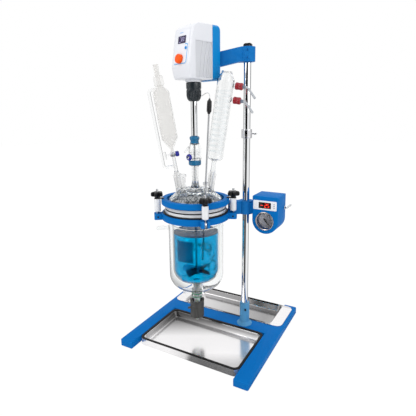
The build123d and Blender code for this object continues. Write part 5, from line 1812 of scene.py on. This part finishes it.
class REACTOR_OT_box(bpy.types.Operator):
    """Control box with its display, gauge and hose nozzle"""

    bl_idname = "reactor.box"
    bl_label = "Control box"

    def execute(self, context):
        half, top = 44, 82
        outline = [Vector((half * cos(a), half * sin(a))) for a in [pi + pi * k / 40 for k in range(41)]]
        outline += rounded((half, top, 3), (-half, top, 3), (-half, 0), (half, 0), steps=4)[:10]
        casing = Shape().prism(outline, -82, 0, BOX_FRONT, edge=2.6, steps=3)
        casing.cut(Shape().bar(27.5, -8, 5, BOX_FRONT, edge=0, steps=72))
        casing.finish("painted_box", "root", ["frame_paint"], ["box_casing"], "blue_paint")
        plate = Shape().prism(shifted(rounded_rect(80, 31, 3), 0, 53), 0.05, 1.2, BOX_FRONT, edge=0.4)
        plate.prism(shifted(rounded_rect(42, 20, 1.5), 0, 53), 1.2, 1.8, BOX_FRONT, edge=0.3, mat=1)
        show_digits(
            plate, "%d" % context.scene.reactor_sizes.display_value, 12, BOX_FRONT @ at(7, 53, 1.8), 2
        )
        plate.box((-15, 52.2, 1.8), (-6, 53.6, 2.05), BOX_FRONT, edge=0.2, steps=1, mat=2)
        for y in (47, 53, 59):
            plate.box((29, y - 0.7, 1.2), (34, y + 0.7, 1.5), BOX_FRONT, edge=0.2, steps=1, mat=3)
        plate.finish(
            "box_panel", "root", ["panel_foil", "window_black", "red_digits", "dial_ink"], ["box_display"],
            "white_plastic"
        )
        self.gauge()
        right = 221.0
        y, z = 86.0, 466.0
        route = bent([(right + 0.1, y, z), (right + 9, y, z), (right + 9, y + 44, z)], 5)
        nozzle = Shape().tube(route, 3.6, sides=20)
        nozzle.pipe(6.5, 3.4, 0, 3, at(right, y, z) @ turn(y=90), edge=0.8, steps=32)
        for reach in (29, 33, 37, 41):
            nozzle.bar(3.95, -1.2, 1.2, at(right + 9, y + reach, z) @ turn(x=90), edge=0.6, steps=24)
        nozzle.finish("vacuum_tube", "root", ["fitting_steel"], ["vacuum_nozzle"], "steel")
        return {"FINISHED"}

    def gauge(self):
        """Bezel, dial with its scale, needle and lens."""
        bezel = rounded(
            (27.5, 0.05), (31, 0.05), (31, 3, 1), (29.5, 4, 0.6), (28.6, 3.4, 0.5), (27.5, 2.6), steps=4
        )
        Shape().lathe(bezel, BOX_FRONT, 96).finish(
            "gauge_ring", "root", ["bezel_steel"], ["gauge_bezel"], "steel"
        )
        dial = Shape().bar(27.45, -8, DIAL_HEIGHT, BOX_FRONT, edge=0.1, steps=96)
        dial.bar(1.5, -6.9, -3.8, BOX_FRONT, edge=0.3, steps=24)
        for step in range(51):
            angle = radians(SCALE_START - SCALE_SWEEP * step / 50)
            inner = 20.5 if step % 5 == 0 else 22.6
            wide = 0.32 if step % 5 == 0 else 0.16
            where = BOX_FRONT @ Matrix.Rotation(angle, 4, "Z")
            dial.box((inner, -wide, -6.85), (24.8, wide, -6.7), where, edge=0, mat=1)
        for step in range(6):
            angle = radians(SCALE_START - SCALE_SWEEP * step / 5)
            spot = at(16.6 * cos(angle), 16.6 * sin(angle), DIAL_HEIGHT)
            dial.words(str(step * 2), 5.4, BOX_FRONT @ spot, 0.1, mat=1)
        sweep = [radians(SCALE_START - SCALE_SWEEP * k / 60) for k in range(61)]
        arc = [Vector((25.4 * cos(a), 25.4 * sin(a), DIAL_HEIGHT)) for a in sweep]
        dial.tube(arc, 0.14, BOX_FRONT, sides=6, mat=1)
        dial.finish("gauge_face", "root", ["dial_silver", "dial_ink"], ["gauge_dial"], "dial_silver")
        where = BOX_FRONT @ turn(z=-50)
        needle = Shape().prism(
            [(-9, -1.9), (0, -1.7), (22, -0.6), (22, 0.6), (0, 1.7), (-9, 1.9)], -5.8, -5.1, where, edge=0.15
        )
        needle.bar(3.6, -5.9, -4.2, where, edge=0.5, steps=36)
        needle.finish("gauge_pointer", "gauge_needle", ["dial_ink"], ["gauge_needle"], "black_plastic")
        lens = rounded((0, 1.5), (27.45, 1.5), (27.45, 2.6), (20, 3.2, 10), (0, 3.4), steps=6)
        Shape().lathe(lens, BOX_FRONT, 72).finish(
            "gauge_window", "root", ["clear_glass"], ["gauge_lens"], "clear_glass"
        )


STAGES = (
    REACTOR_OT_stage, REACTOR_OT_base, REACTOR_OT_column, REACTOR_OT_motor, REACTOR_OT_panel,
    REACTOR_OT_stirrer,
    REACTOR_OT_seal, REACTOR_OT_rings, REACTOR_OT_clamps, REACTOR_OT_vessel, REACTOR_OT_drain, REACTOR_OT_lid,
    REACTOR_OT_funnel, REACTOR_OT_condenser, REACTOR_OT_probe, REACTOR_OT_box,
)


class REACTOR_PT_panel(bpy.types.Panel):
    """The reactor's settings and steps in the 3D view's sidebar"""

    bl_label = "Glass reactor"
    bl_idname = "REACTOR_PT_panel"
    bl_space_type = "VIEW_3D"
    bl_region_type = "UI"
    bl_category = "Reactor"

    def draw(self, context):
        for group in (context.scene.reactor_sizes, context.scene.reactor_colours):
            box = self.layout.box()
            for name in group.bl_rna.properties.keys():
                if name not in ("rna_type", "name"):
                    box.prop(group, name)
        for stage in STAGES:
            self.layout.operator(stage.bl_idname)


CLASSES = (ReactorSizes, ReactorColours, *STAGES, REACTOR_PT_panel)


def register():
    for made in CLASSES:
        bpy.utils.register_class(made)
    bpy.types.Scene.reactor_sizes = bpy.props.PointerProperty(type=ReactorSizes)
    bpy.types.Scene.reactor_colours = bpy.props.PointerProperty(type=ReactorColours)


def unregister():
    del bpy.types.Scene.reactor_colours
    del bpy.types.Scene.reactor_sizes
    for made in reversed(CLASSES):
        bpy.utils.unregister_class(made)


def main():
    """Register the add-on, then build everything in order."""
    register()
    for stage in STAGES:
        group, name = stage.bl_idname.split(".")
        getattr(getattr(bpy.ops, group), name)()


if __name__ == "__main__":
    main()
